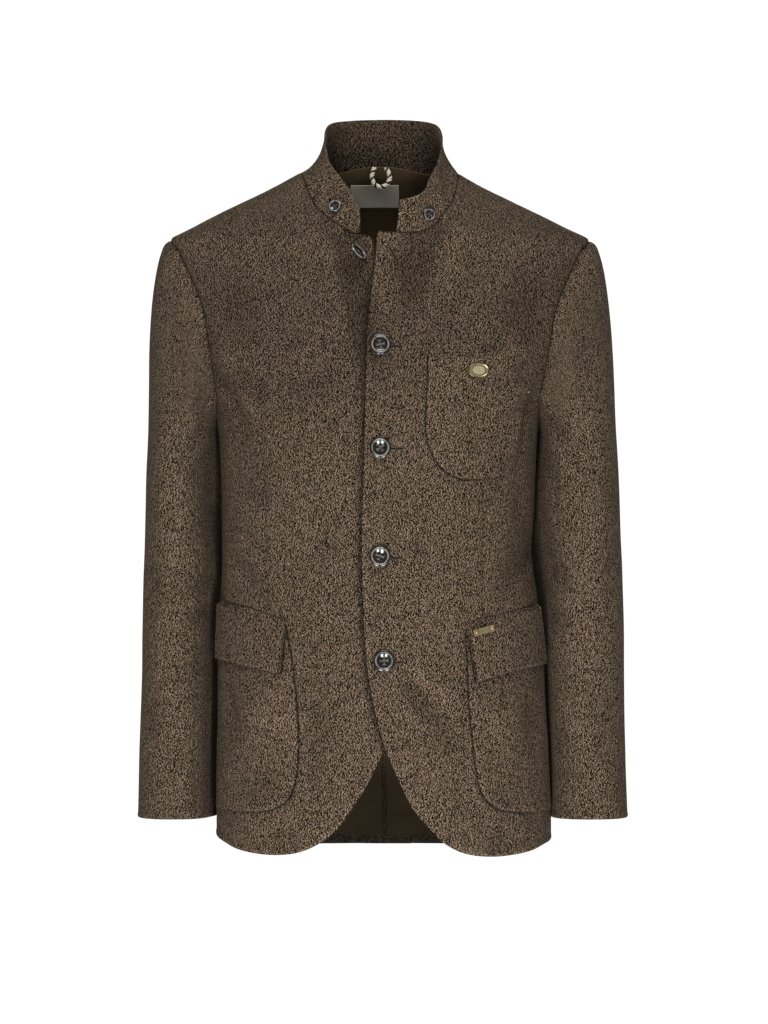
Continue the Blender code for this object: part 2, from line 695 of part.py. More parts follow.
def collar_rows(count):
    """Seam points and top points round the collar, evenly along it."""
    seam = neckline()
    rows = []
    for i in range(count):
        share = i / (count - 1)
        rows.append((along(seam, share * 0.9999), Vector(row_at(COLLAR_TOP, share))))
    return rows


def collar_face(rows, i, up):
    """A point of the band's outer face and its normal. up is 0 at the seam and 1 at the top edge."""
    seam, top = rows[i]
    ahead, behind = rows[min(len(rows) - 1, i + 1)], rows[max(0, i - 1)]
    run = ahead[0].lerp(ahead[1], up) - behind[0].lerp(behind[1], up)
    normal = (top - seam).cross(run).normalized()
    base = seam + (top - seam).normalized() * COLLAR_RISE
    hollow = COLLAR_HOLLOW[0] + COLLAR_HOLLOW[1] * smooth((abs(top.x + 1) - 40) / 20) * smooth((top.z - 5) / 25)
    return base.lerp(top, up) + normal * (0.4 + COLLAR_OUT * up - hollow * math.sin(math.pi * up)), normal


def collar(count=41):
    rows = collar_rows(count)
    outer, inner = [], []
    for up in (0.0, 0.35, 0.7, 1.0):
        for i in range(count):
            p, normal = collar_face(rows, i, up)
            outer.append(p)
            inner.append(p - normal * COLLAR_WALL)
    return wall("collar", outer, inner, strip_faces(4, count), LODEN)


# ---------------------------------------------------------------- buttons and trim


def turned(name, centre, normal, profile, finish, sides=14, up=Vector((0, 0, 1)), stretch=1.0):
    """A turned piece: profile is a list of radius and height, from the under side's middle outwards and back to the middle."""
    across = up.cross(normal).normalized()
    upward = normal.cross(across).normalized()
    points, faces = [centre + normal * profile[0][1]], []
    for r, h in profile[1:-1]:
        for i in range(sides):
            a = 2 * math.pi * i / sides
            points.append(centre + across * (r * stretch * math.cos(a)) + upward * (r * math.sin(a)) + normal * h)
    points.append(centre + normal * profile[-1][1])
    rings = len(profile) - 2
    for i in range(sides):
        j = (i + 1) % sides
        faces.append((0, 1 + j, 1 + i))
        faces.append((len(points) - 1, 1 + (rings - 1) * sides + i, 1 + (rings - 1) * sides + j))
        for k in range(rings - 1):
            a, b = 1 + k * sides + i, 1 + k * sides + j
            faces += [(a, b, b + sides), (a, b + sides, a + sides)]
    return make(name, points, faces, finish)


def button_profile(diameter, thick):
    """Flat under side, a thick rounded rim, and a shallow dish."""
    r = diameter / 2
    return ((0, 0), (r * 0.62, 0), (r * 0.93, thick * 0.28), (r, thick * 0.62), (r * 0.9, thick), (r * 0.72, thick * 0.86), (r * 0.6, thick * 0.62), (0, thick * 0.6))


def plate(name, centre, across, up, normal, width, height, thick, finish, sag=0.0):
    """A thin flat plate, with its back face on the centre."""
    points = []
    for h in (0.0, thick):
        for i, j in ((-1, -1), (1, -1), (1, 1), (-1, 1)):
            points.append(centre + across * (i * width / 2) + up * (j * height / 2) + normal * (h + (sag if i else 0)))
    faces = [(0, 3, 2, 1), (4, 5, 6, 7), (0, 1, 5, 4), (1, 2, 6, 5), (2, 3, 7, 6), (3, 0, 4, 7)]
    return make(name, points, faces, finish)


def body_frame(x, z, behind=False):
    theta = theta_of(x, z, behind)
    normal = body_normal(theta, z)
    across = Vector((0, 0, 1)).cross(normal).normalized()
    return body(theta, z), normal, across, normal.cross(across).normalized()


# ---------------------------------------------------------------- build


def build():
    for obj in list(bpy.data.objects):
        bpy.data.objects.remove(obj, do_unlink=True)
    for side, name, edge, layer in (
        (1, "front_left", EDGE_LEFT, lambda p: 0.0),
        (-1, "front_right", EDGE_RIGHT, under_lap),
    ):
        panel(name, front_outline(side, edge), layer, CLOTH)
    panel("back_left", back_outline(1, 0.0), lambda p: 0.0, CLOTH)
    panel("back_right", back_outline(-1, VENT_LAP), vent_sink, CLOTH)
    panel("lining_back", lining_outline(), lining_layer, LINING, SATIN, GRID_ACROSS * 1.1, LEVELS[:15] + LEVELS[16:-1:2])
    for side, name in ((1, "left"), (-1, "right")):
        sleeve_piece("sleeve_top_" + name, side, SEAM_BACK - 1, SEAM_FRONT, 15)
        sleeve_piece("sleeve_under_" + name, side, SEAM_FRONT, SEAM_BACK, 7)
    collar()

    # Pockets and flaps, from the front's own surface, moved out.
    for side, name, edge, top, low in (
        (1, "left", POCKET_LEFT, FLAP_LEFT_TOP, FLAP_LEFT_LOW),
        (-1, "right", POCKET_RIGHT, FLAP_RIGHT_TOP, FLAP_RIGHT_LOW),
    ):
        corner = flat(side * POCKET_SIDE, -470)
        low_corner = flat(side * POCKET_SIDE, edge[-1][1] + 1)
        bottom = front_line(edge, 3) + [flat(theta_of(*edge[-1]), edge[-1][1]), low_corner]
        outline = resample([bottom, [low_corner, corner], [corner, bottom[0]]], 18)
        panel("pocket_" + name, outline, lambda p: POCKET_AIR + CLOTH, CLOTH, LODEN, 19, (-480, -525, -570, -615, -655))
        upper = front_line(top, 3) + [flat(theta_of(*top[-1]), top[-1][1]), flat(side * FLAP_SIDE, top[-1][1] + 3)]
        lower = front_line(low, 3) + [flat(theta_of(*low[-1]), low[-1][1]), flat(side * FLAP_SIDE, low[-1][1] + 3)]
        outline = resample([upper, [upper[-1], lower[-1]], lower[::-1], [lower[0], upper[0]]], 15)
        flap_top = upper[0].y
        panel("flap_" + name, outline, lambda p: FLAP_AIR + 2 * CLOTH + 1.2 * smooth((flap_top - p.y) / 60), CLOTH * 0.95, LODEN, 19, (-478, -502, -526))
    outline = resample([front_line((*BREAST, BREAST[0]), 2) + [flat(theta_of(*BREAST[0]), BREAST[0][1])]], 15)
    panel("pocket_breast", outline, lambda p: POCKET_AIR + 0.5 + CLOTH, CLOTH, LODEN, 15, (-225, -262, -300))

    # Buttons.
    for row in BUTTONS:
        b = dict(zip(BUTTON_COLUMNS, row))
        point, normal, _, _ = body_frame(b["x"], b["z"])
        facing = TIPPED if b["name"] == "button_1" else normal
        turned(b["name"], point + normal * b["lift"], facing, button_profile(b["diameter"], BUTTON_THICK), HORN)
    rows = collar_rows(161)
    for name, i, up in (("button_collar_right", 13, 0.36), ("button_collar_left", 148, 0.28)):
        p, normal = collar_face(rows, i, up)
        turned(name, p + normal * 0.7, normal, button_profile(COLLAR_BUTTON, 3.0), HORN)

    # Plain oval badge on the breast pocket, and a plain plate on the left pocket flap.
    point, normal, _, _ = body_frame(102.7, -215.3)
    lift = POCKET_AIR + CLOTH + 0.8
    turned("badge", point + normal * lift, normal, ((0, 0), (7.6, 0), (8.6, 0.9), (7.2, 1.7), (0, 2.4)), ENAMEL, 18, Vector((0, 0, 1)), 1.5)
    point, normal, across, up = body_frame(104.5, -493.5)
    tilt = math.radians(14)
    along_, over = across * math.cos(tilt) + up * math.sin(tilt), up * math.cos(tilt) - across * math.sin(tilt)
    base = point + normal * (FLAP_AIR + 2 * CLOTH + 1.4)
    plate("tag_plate", base, along_, over, normal, 25, 7, 0.9, BRASS)
    for k, s in ((1, -1), (2, 1)):
        turned("tag_pin_" + str(k), base + along_ * (s * 9.6) + normal * 1.2, normal, ((0, 0), (1.3, 0), (1.3, 0.4), (0, 0.9)), BRASS, 10)

    # Blank label and hanger loop inside the back neck.
    corners = [flat(theta_of(x, z, True) % (2 * math.pi), z) for x, z in LABEL]
    outline = resample([[a, b] for a, b in zip(corners, corners[1:] + corners[:1])], 15)
    panel("neck_label", outline, lambda p: LABEL_LAYER, 0.6, WOVEN, 14, (-2, -14))
    loop = bpy.data.curves.new("hanger_loop", "CURVE")
    loop.dimensions = "3D"
    loop.bevel_depth = LOOP_CORD / 2 * 0.001
    loop.bevel_resolution = 2
    loop.use_fill_caps = True
    way = curve_through(LOOP_WAY, 3) + [Vector(LOOP_WAY[-1])]
    spline = loop.splines.new("POLY")
    spline.points.add(len(way) - 1)
    for point, place in zip(spline.points, way):
        point.co = (*(place * 0.001), 1.0)
    loop.materials.append(material(*CORD))
    bpy.context.scene.collection.objects.link(bpy.data.objects.new("hanger_loop", loop))


build()
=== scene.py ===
"""Looks of the tyrolean loden jacket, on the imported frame.

Sizes in the tables are millimetres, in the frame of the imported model; meshes are made in metres.
Every cloth piece is a thin closed shell on the form of its solid: its outline is laid out flat,
filled with a fine net, lifted onto the body, sleeve or collar surface, and moved by its layer,
by the creases and by the roll or dip of its edges.
"""

import math

import bpy
import numpy as np
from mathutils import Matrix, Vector, kdtree
from mathutils.geometry import delaunay_2d_cdt


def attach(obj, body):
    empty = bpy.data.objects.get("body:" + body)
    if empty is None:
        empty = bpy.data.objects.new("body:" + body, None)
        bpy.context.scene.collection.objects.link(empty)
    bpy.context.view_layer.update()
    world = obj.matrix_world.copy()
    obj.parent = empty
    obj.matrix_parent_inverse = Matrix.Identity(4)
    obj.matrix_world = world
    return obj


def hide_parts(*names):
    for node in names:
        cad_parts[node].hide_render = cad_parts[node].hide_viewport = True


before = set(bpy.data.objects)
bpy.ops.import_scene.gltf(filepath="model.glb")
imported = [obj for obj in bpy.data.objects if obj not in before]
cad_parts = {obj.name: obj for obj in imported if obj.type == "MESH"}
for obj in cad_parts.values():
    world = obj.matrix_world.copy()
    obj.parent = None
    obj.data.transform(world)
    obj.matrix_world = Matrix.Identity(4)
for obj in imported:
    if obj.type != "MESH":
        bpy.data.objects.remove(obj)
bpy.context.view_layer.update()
scene = bpy.context.scene

# ------------------------------------------------------------------ sizes shared with the solids
CLOTH = 2.4
SEAM = 0.18
LAP = 1.1
LINING = 1.0
LINING_AIR = 1.7
LINING_RISE = 3.0
CENTRE_Y = 5.0
SIDE_SEAM = math.radians(97)
HEM_BACK = -736.0
VENT_TOP = -520.0
VENT_LAP = 30.0
LINING_HEM = -728.0
COLLAR_WALL = 3.0
COLLAR_RISE = -0.3
COLLAR_OUT = 2.2
COLLAR_HOLLOW = 0.6, 4.0
CUFF = -697.5
UNDERARM = -266.0
SHOULDER_POINT = -70.6
DOMAIN = 150.0
POCKET_AIR, FLAP_AIR = 1.2, 2.2

BODY = (  # z, middle, half width, depth in front and behind, squareness
    (24, -2.0, 62, 26, 52, 2.3),
    (14, -2.5, 75, 32, 57, 2.3),
    (4, -4.0, 86, 37, 62, 2.3),
    (-2, -5.0, 95, 40, 66, 2.25),
    (-15, -5.5, 119, 44, 73, 2.2),
    (-28, -5.5, 146, 50, 80, 2.2),
    (-41, -5.0, 173, 59, 87, 2.2),
    (-54, -4.5, 199, 68, 92, 2.2),
    (-70, -3.0, 226, 78, 97, 2.25),
    (-92, -3.0, 221, 87, 104, 2.3),
    (-118, -3.0, 214, 98, 109, 2.35),
    (-148, -3.5, 207, 109, 113, 2.4),
    (-175, -4.0, 201, 116, 115, 2.4),
    (-202, -4.5, 194, 122, 116, 2.4),
    (-231, -5.0, 185, 127, 115, 2.4),
    (-256, -5.5, 177, 130, 112, 2.4),
    (-285, -5.0, 173.5, 131, 109, 2.4),
    (-331, -5.0, 171.5, 131, 105, 2.4),
    (-375, -6.0, 170.3, 129, 101, 2.4),
    (-410, -7.3, 168.8, 128, 99, 2.4),
    (-440, -5.8, 171, 129, 101, 2.4),
    (-484, -3.9, 175, 132, 107, 2.4),
    (-532, -1.9, 177.4, 136, 115, 2.4),
    (-571, -1.6, 178.4, 138, 120, 2.4),
    (-615, -1.0, 180, 140, 124, 2.4),
    (-691, 0.5, 181.6, 140, 130, 2.4),
    (-745, 0.8, 182, 139, 132, 2.4),
)
EDGE_LEFT = (  # x, z
    (-4.0, -64.6), (-6.0, -68.0), (-7.0, -80), (-11.9, -124), (-16.5, -165), (-18.6, -235), (-20.8, -320),
    (-23.0, -400), (-21.3, -466), (-18.6, -515), (-15.1, -544), (-9.0, -576), (0.7, -612.6),
    (15.4, -649), (32.4, -683), (49.5, -703), (66.7, -720), (88, -730.5), (115.7, -734.5),
    (140, -733.5), (161, -730), (176, -724.5),
)  # fmt: skip
EDGE_RIGHT = (
    (-16.5, -65.4), (-12.4, -68.8), (-10.4, -75), (-8.0, -90), (2, -120), (12, -155), (17, -195), (16, -300),
    (14, -400), (17, -470), (17.5, -515), (15.5, -544), (10, -576), (3.2, -612), (-13.8, -651),
    (-28.7, -675.6), (-48.1, -703), (-65.2, -717.5), (-86, -728), (-109.7, -732.5),
    (-136, -732), (-159, -728), (-174, -721.5),
)  # fmt: skip
NECK_MIDDLE, NECK_HALF = -3.5, 86.0
NECK_FRONT, NECK_BACK = 75.6, 57.5
NECK_SQUARE = 2.25, 2.75, 2.7
ARMHOLE = (  # z, distance from the body's middle in front and behind
    (-80, 220.5, 220.5),
    (-92, 214.5, 215.0),
    (-118, 202.5, 205.0),
    (-148, 190.5, 197.0),
    (-173, 186.0, 192.0),
    (-196, 183.0, 187.5),
    (-220, 179.5, 182.0),
    (-243, 174.5, 176.5),
)
SLEEVE = (  # z, left in, left out, right in, right out, front, back, press left, press right
    (-292, 173.5, 254.5, 186.0, 257.0, -66, 76, 8.5, 12.0),
    (-330, 172.5, 257.0, 191.0, 258.5, -66, 74, 10.0, 20.5),
    (-370, 173.5, 258.8, 191.0, 259.3, -65, 72, 15.0, 20.5),
    (-405, 177.5, 259.9, 187.5, 259.9, -65, 70, 21.8, 17.5),
    (-436, 179.5, 260.6, 184.0, 260.6, -65, 67, 22.5, 13.2),
    (-473, 178.5, 261.3, 188.0, 261.4, -66, 63, 13.2, 13.6),
    (-510, 178.5, 262.0, 188.5, 262.4, -66, 60, 6.2, 12.2),
    (-560, 180.5, 262.8, 189.5, 263.5, -67, 57, 6.4, 13.8),
    (-625, 182.5, 264.0, 190.5, 265.0, -68, 54, 4.5, 13.0),
    (CUFF, 182.4, 266.0, 188.5, 266.3, -68, 52, 0.3, 11.0),
)
SLEEVE_SQUARE = 2.25
PRESS_TURN = 0.61, 0.18
HEAD = (  # turn, out, forward, up, down
    (0.00, 86, 0, -14, 190),
    (0.12, 80, 22, -12, 170),
    (0.25, 52, 34, -10, 110),
    (0.38, 22, 22, -12, 50),
    (0.50, 8, 0, -6, 22),
    (0.62, 20, -20, -12, 50),
    (0.75, 46, -30, -10, 110),
    (0.88, 78, -20, -12, 170),
    (1.00, 86, 0, -14, 190),
)
SEAM_FRONT, SEAM_BACK = 0.36, 0.665
COLLAR_TOP = (  # share, x, y, z
    (0.000, -24.6, -61.5, -36.5),
    (0.045, -30.5, -56.5, -27.5),
    (0.090, -38.5, -50.0, -13.5),
    (0.140, -48.5, -40.5, -0.5),
    (0.190, -56.5, -29.0, 12.0),
    (0.245, -60.0, -14.0, 25.5),
    (0.300, -61.5, 2.0, 43.0),
    (0.355, -60.0, 18.0, 54.0),
    (0.420, -53.0, 34.0, 60.5),
    (0.475, -36.0, 46.0, 63.5),
    (0.530, -14.0, 50.5, 64.8),
    (0.580, 8.0, 50.8, 65.0),
    (0.630, 30.0, 47.0, 64.0),
    (0.685, 48.0, 36.0, 61.0),
    (0.735, 58.0, 20.0, 55.0),
    (0.785, 62.5, 2.0, 42.0),
    (0.835, 61.5, -15.0, 24.0),
    (0.875, 57.0, -30.0, 9.5),
    (0.915, 49.5, -43.0, -4.5),
    (0.945, 44.2, -50.5, -18.5),
    (0.970, 34.0, -58.0, -25.5),
    (1.000, 17.6, -62.5, -30.5),
)
COLLAR_ENDS = (-25.2, 14.5)
POCKET_RIGHT = ((-104, -487), (-98.4, -515), (-94.9, -540), (-91, -576), (-89.5, -613), (-91.5, -645), (-96.5, -665), (-106, -678), (-121, -685), (-140, -687.5), (-158, -688))
POCKET_LEFT = ((88.5, -490), (87.2, -500), (89.7, -527), (91.1, -567), (95, -611), (98.2, -640), (103, -663), (112, -676), (125, -684.5), (142, -688), (160, -689.5))
FLAP_RIGHT_TOP = ((-103.5, -482.4), (-122, -476), (-147, -468), (-164, -464.5))
FLAP_RIGHT_LOW = ((-109, -539), (-134.4, -533), (-160, -527.5))
FLAP_LEFT_TOP = ((88.7, -484.3), (119.3, -477), (150, -470), (162, -467.5))
FLAP_LEFT_LOW = ((99, -547.5), (118.8, -542), (137, -537), (156, -533.5))
POCKET_SIDE = math.radians(75)
FLAP_SIDE = math.radians(72)
BREAST = (
    (47.7, -197.5), (75, -196.8), (101, -196), (128, -193.6), (151.5, -190.5), (153.5, -215), (154.5, -250), (154, -280),
    (150, -303), (141, -319), (128, -327.5), (108.4, -331), (83.2, -331), (66, -323.5), (52.5, -306), (45.5, -283),
    (46, -250), (47.4, -222),
)  # fmt: skip
LABEL = ((17.7, -27.2), (17.7, -3.0), (-36.4, -3.0), (-36.4, -27.2))
LABEL_LAYER = -(CLOTH + LINING_AIR + LINING + 0.5)
LOOP_WAY = ((-9.5, 54.3, 12.5), (-12.2, 53.0, 4.0), (-11.0, 52.4, -3.0), (-7.0, 52.0, -7.5), (-2.0, 51.8, -8.8), (3.0, 52.0, -7.0), (7.0, 52.4, -1.5), (7.2, 53.0, 4.5), (3.5, 54.3, 12.5))
BUTTONS = (  # name, x, z, diameter, lift, turn of the holes in degrees
    ("button_1", -27.7, -90.3, 25.0, 11.8, 20),
    ("button_2", -2.8, -186.9, 22.8, 1.0, 12),
    ("button_3", -2.9, -297.4, 22.8, 1.0, 40),
    ("button_4", -3.2, -413.1, 22.8, 1.0, -22),
    ("button_5", 1.1, -524.7, 22.8, 1.0, 4),
)
TIPPED = (0.70, -0.38, 0.60)

# ------------------------------------------------------------------ creases on the body
# name, side of the body, width, depth (below 0 is a ridge), lean, fade at start and end, path of (x, z)
CREASES = (
    # the fronts, above the waist
    ("lapel_right", "front", 16, 4.6, 0.3, 0.04, 0.45, ((-42, -57), (-36, -76), (-34, -112), (-27, -150), (-19, -190), (-18, -240))),
    ("lapel_left_roll", "front", 12, -0.9, 0.0, 0.20, 0.40, ((6, -78), (2, -120), (-4, -160), (-8, -200))),
    ("under_collar_left", "front", 20, 4.8, -0.2, 0.03, 0.55, ((54, -44), (45, -74), (36, -104), (26, -140), (20, -176))),
    ("under_collar_right", "front", 12, 1.3, 0.2, 0.30, 0.50, ((-64, -46), (-52, -74), (-44, -104), (-38, -132))),
    ("armpit_right_1", "front", 9, 2.2, 0.3, 0.15, 0.50, ((-181, -214), (-168, -236), (-156, -262), (-148, -296), (-144, -330))),
    ("armpit_right_bulge", "front", 15, -2.0, 0.0, 0.35, 0.50, ((-176, -186), (-168, -204), (-158, -222))),
    ("armpit_right_2", "front", 10, 1.6, -0.2, 0.20, 0.60, ((-172, -214), (-150, -222), (-126, -240), (-104, -262))),
    ("armpit_right_3", "front", 8, 1.1, 0.2, 0.20, 0.60, ((-176, -244), (-163, -276), (-157, -312), (-157, -350))),
    ("armpit_left_1", "front", 9, 2.0, 0.3, 0.15, 0.55, ((168, -222), (158, -246), (150, -276), (146, -312), (145, -346))),
    ("armpit_left_2", "front", 12, 1.3, 0.0, 0.25, 0.60, ((166, -208), (146, -216), (120, -228), (94, -248))),
    ("armpit_left_3", "front", 8, 1.0, -0.2, 0.25, 0.60, ((164, -252), (160, -296), (159, -338))),
    ("shoulder_right", "front", 22, 1.5, 0.0, 0.35, 0.50, ((-176, -98), (-160, -134), (-148, -172), (-141, -206))),
    ("shoulder_left", "front", 22, 1.5, 0.0, 0.35, 0.50, ((172, -98), (158, -134), (147, -172), (142, -204))),
    ("chest_drag_right", "front", 17, 1.0, 0.0, 0.40, 0.50, ((-40, -204), (-70, -228), (-104, -246), (-130, -256))),
    # the waist, with the darts
    ("dart_right", "front", 4.0, 0.7, 0.0, 0.20, 0.20, ((-131, -232), (-130, -300), (-126, -380), (-124, -466))),
    ("dart_left", "front", 4.0, 0.7, 0.0, 0.20, 0.20, ((106, -333), (107, -380), (107, -430), (106, -477))),
    ("waist_right_1", "front", 12, 2.2, 0.3, 0.25, 0.50, ((-170, -408), (-156, -424), (-138, -446), (-116, -464))),
    ("waist_right_2", "front", 11, 1.3, 0.0, 0.30, 0.55, ((-172, -376), (-152, -386), (-128, -404), (-104, -430))),
    ("waist_right_3", "front", 14, 1.0, 0.0, 0.40, 0.55, ((-160, -340), (-130, -350), (-96, -366))),
    ("waist_right_4", "front", 9, 1.3, -0.3, 0.25, 0.50, ((-168, -436), (-152, -452), (-138, -463))),
    ("waist_left_1", "front", 13, 2.4, -0.3, 0.25, 0.45, ((164, -404), (150, -424), (132, -446), (108, -468))),
    ("waist_left_2", "front", 12, 1.6, 0.0, 0.30, 0.55, ((164, -372), (152, -388), (134, -410), (118, -440))),
    ("waist_left_3", "front", 12, 1.3, 0.2, 0.30, 0.50, ((148, -326), (146, -362), (140, -400))),
    ("waist_left_4", "front", 8, 1.1, 0.2, 0.25, 0.50, ((166, -430), (152, -448), (141, -462))),
    ("waist_mid_left", "front", 15, 0.8, 0.0, 0.40, 0.50, ((12, -404), (44, -410), (76, -424))),
    ("waist_mid_right", "front", 16, 0.8, 0.0, 0.40, 0.50, ((-36, -390), (-62, -402), (-88, -420))),
    # the skirt
    ("skirt_left_drag", "front", 10, 2.7, -0.35, 0.20, 0.40, ((14, -534), (32, -552), (50, -572), (68, -600), (84, -634))),
    ("skirt_left_drag_ridge", "front", 13, -1.4, 0.0, 0.30, 0.45, ((26, -520), (46, -542), (66, -566), (84, -596))),
    ("skirt_left_low", "front", 18, 1.2, 0.0, 0.35, 0.50, ((70, -640), (82, -672), (96, -702))),
    ("skirt_right_1", "front", 17, 1.3, 0.0, 0.35, 0.50, ((-44, -560), (-62, -596), (-74, -640), (-80, -684))),
    ("skirt_right_2", "front", 18, 1.3, 0.0, 0.35, 0.50, ((-86, -520), (-80, -556), (-78, -600))),
    ("pocket_right_sag", "front", 20, 2.0, 0.2, 0.35, 0.45, ((-100, -640), (-120, -652), (-146, -656), (-164, -650))),
    ("pocket_right_belly", "front", 30, -2.0, 0.0, 0.40, 0.45, ((-128, -556), (-126, -588), (-124, -618))),
    ("pocket_right_out", "front", 12, 1.3, 0.0, 0.30, 0.50, ((-162, -548), (-158, -592), (-156, -632))),
    ("pocket_left_belly", "front", 28, -1.6, 0.0, 0.40, 0.45, ((122, -562), (124, -596), (128, -626))),
    ("pocket_left_out", "front", 13, 1.6, 0.0, 0.30, 0.50, ((160, -548), (157, -590), (156, -640))),
    ("pocket_left_sag", "front", 16, 1.2, 0.0, 0.35, 0.50, ((104, -664), (128, -672), (156, -668))),
    ("hem_left", "front", 16, 1.2, 0.0, 0.40, 0.20, ((120, -694), (124, -714), (127, -736))),
    ("hem_right", "front", 16, 1.2, 0.0, 0.40, 0.20, ((-114, -692), (-112, -714), (-110, -736))),
    # the back
    ("blade_left", "back", 26, 1.5, 0.0, 0.35, 0.50, ((150, -110), (136, -160), (128, -216), (126, -262))),
    ("blade_right", "back", 26, 1.5, 0.0, 0.35, 0.50, ((-158, -112), (-144, -162), (-137, -214), (-134, -256))),
    ("back_armpit_left_1", "back", 10, 2.2, 0.3, 0.15, 0.55, ((172, -222), (158, -250), (147, -286), (141, -330))),
    ("back_armpit_left_2", "back", 11, 1.5, 0.0, 0.20, 0.60, ((176, -196), (156, -214), (130, -232), (102, -246))),
    ("back_armpit_right_1", "back", 10, 2.2, -0.3, 0.15, 0.55, ((-178, -220), (-163, -252), (-152, -290), (-148, -336))),
    ("back_armpit_right_2", "back", 11, 1.5, 0.0, 0.20, 0.60, ((-182, -198), (-160, -216), (-136, -238), (-110, -258))),
    ("back_waist_left_1", "back", 12, 2.4, -0.3, 0.25, 0.50, ((166, -404), (140, -414), (108, -420), (74, -414))),
    ("back_waist_left_2", "back", 13, 1.9, 0.2, 0.30, 0.55, ((160, -364), (128, -376), (92, -384), (58, -380))),
    ("back_waist_left_3", "back", 12, 1.5, 0.0, 0.30, 0.50, ((164, -446), (136, -452), (104, -450))),
    ("back_waist_right_1", "back", 12, 2.3, 0.3, 0.25, 0.50, ((-174, -410), (-146, -422), (-112, -426), (-76, -418))),
    ("back_waist_right_2", "back", 14, 1.8, -0.2, 0.30, 0.55, ((-168, -372), (-136, -382), (-100, -388), (-64, -380))),
    ("back_waist_right_3", "back", 11, 1.4, 0.0, 0.30, 0.50, ((-170, -450), (-140, -460), (-110, -456))),
    ("back_mid_1", "back", 16, 1.3, 0.0, 0.40, 0.50, ((-34, -352), (-4, -360), (30, -350))),
    ("back_neck", "back", 14, 1.3, 0.0, 0.40, 0.50, ((-44, -30), (-4, -38), (38, -32))),
    ("back_skirt_left", "back", 22, 2.0, 0.0, 0.35, 0.30, ((64, -520), (72, -590), (84, -660), (92, -720))),
    ("back_skirt_right", "back", 22, 2.0, 0.0, 0.35, 0.30, ((-70, -516), (-80, -590), (-92, -664), (-100, -722))),
    ("back_skirt_left_out", "back", 18, 1.4, 0.0, 0.35, 0.50, ((140, -560), (144, -620), (150, -690))),
    ("back_skirt_right_out", "back", 18, 1.4, 0.0, 0.35, 0.50, ((-142, -556), (-148, -620), (-152, -692))),
)

# Creases on the sleeves: arm side (1 left, -1 right), width, depth, lean, fades, path of (turn, z).
# turn is 0 on the outer side, 0.25 in front, 0.5 on the inner side and 0.75 behind.
SLEEVE_CREASES = (
    (-1, 10, 1.8, 0.2, 0.20, 0.55, ((0.40, -262), (0.33, -290), (0.25, -318), (0.17, -336))),
    (-1, 9, 1.5, 0.2, 0.20, 0.60, ((0.44, -286), (0.36, -322), (0.28, -352))),
    (-1, 14, 1.3, 0.0, 0.40, 0.50, ((0.16, -150), (0.20, -200), (0.22, -256))),
    (-1, 13, 1.9, -0.2, 0.30, 0.50, ((0.47, -430), (0.38, -444), (0.28, -452), (0.20, -446))),
    (-1, 11, 1.6, 0.2, 0.30, 0.50, ((0.46, -462), (0.36, -478), (0.27, -486))),
    (-1, 14, 1.3, 0.0, 0.35, 0.50, ((0.10, -400), (0.16, -440), (0.17, -490))),
    (-1, 13, 1.4, 0.1, 0.30, 0.50, ((0.42, -520), (0.31, -540), (0.20, -548))),
    (-1, 16, 1.4, 0.0, 0.40, 0.50, ((0.12, -560), (0.17, -602), (0.26, -640))),
    (-1, 12, 1.2, 0.0, 0.40, 0.50, ((0.36, -610), (0.27, -634), (0.16, -646))),
    (-1, 15, 2.0, 0.0, 0.30, 0.50, ((0.60, -420), (0.74, -440), (0.88, -444))),
    (-1, 13, 1.7, 0.0, 0.30, 0.50, ((0.58, -456), (0.72, -484), (0.86, -492))),
    (-1, 14, 1.5, 0.0, 0.35, 0.50, ((0.62, -300), (0.76, -330), (0.90, -350))),
    (-1, 16, 1.3, 0.0, 0.35, 0.50, ((0.66, -560), (0.80, -590), (0.92, -600))),
    (1, 10, 1.8, 0.2, 0.20, 0.55, ((0.41, -258), (0.34, -288), (0.26, -312), (0.18, -334))),
    (1, 9, 1.4, 0.2, 0.20, 0.60, ((0.45, -290), (0.37, -330), (0.30, -362))),
    (1, 14, 1.4, 0.0, 0.40, 0.50, ((0.15, -156), (0.19, -206), (0.22, -262))),
    (1, 12, 1.7, 0.2, 0.30, 0.50, ((0.46, -418), (0.37, -436), (0.28, -448), (0.19, -450))),
    (1, 13, 1.7, -0.2, 0.30, 0.50, ((0.45, -470), (0.35, -482), (0.25, -484))),
    (1, 15, 1.2, 0.0, 0.35, 0.50, ((0.08, -380), (0.14, -430), (0.15, -480))),
    (1, 12, 1.5, 0.1, 0.30, 0.50, ((0.44, -600), (0.35, -622), (0.27, -636))),
    (1, 10, 1.4, -0.1, 0.30, 0.50, ((0.43, -632), (0.34, -648), (0.22, -652))),
    (1, 16, 1.3, 0.0, 0.40, 0.50, ((0.12, -540), (0.18, -586), (0.20, -640))),
    (1, 13, 1.2, 0.0, 0.40, 0.50, ((0.42, -536), (0.31, -552), (0.20, -558))),
    (1, 15, 2.0, 0.0, 0.30, 0.50, ((0.60, -424), (0.74, -446), (0.88, -452))),
    (1, 12, 1.6, 0.0, 0.30, 0.50, ((0.58, -462), (0.72, -488), (0.86, -498))),
    (1, 14, 1.5, 0.0, 0.35, 0.50, ((0.62, -306), (0.76, -336), (0.90, -352))),
    (1, 16, 1.3, 0.0, 0.35, 0.50, ((0.66, -566), (0.80, -596), (0.92, -610))),
)

# ------------------------------------------------------------------ curves and tables


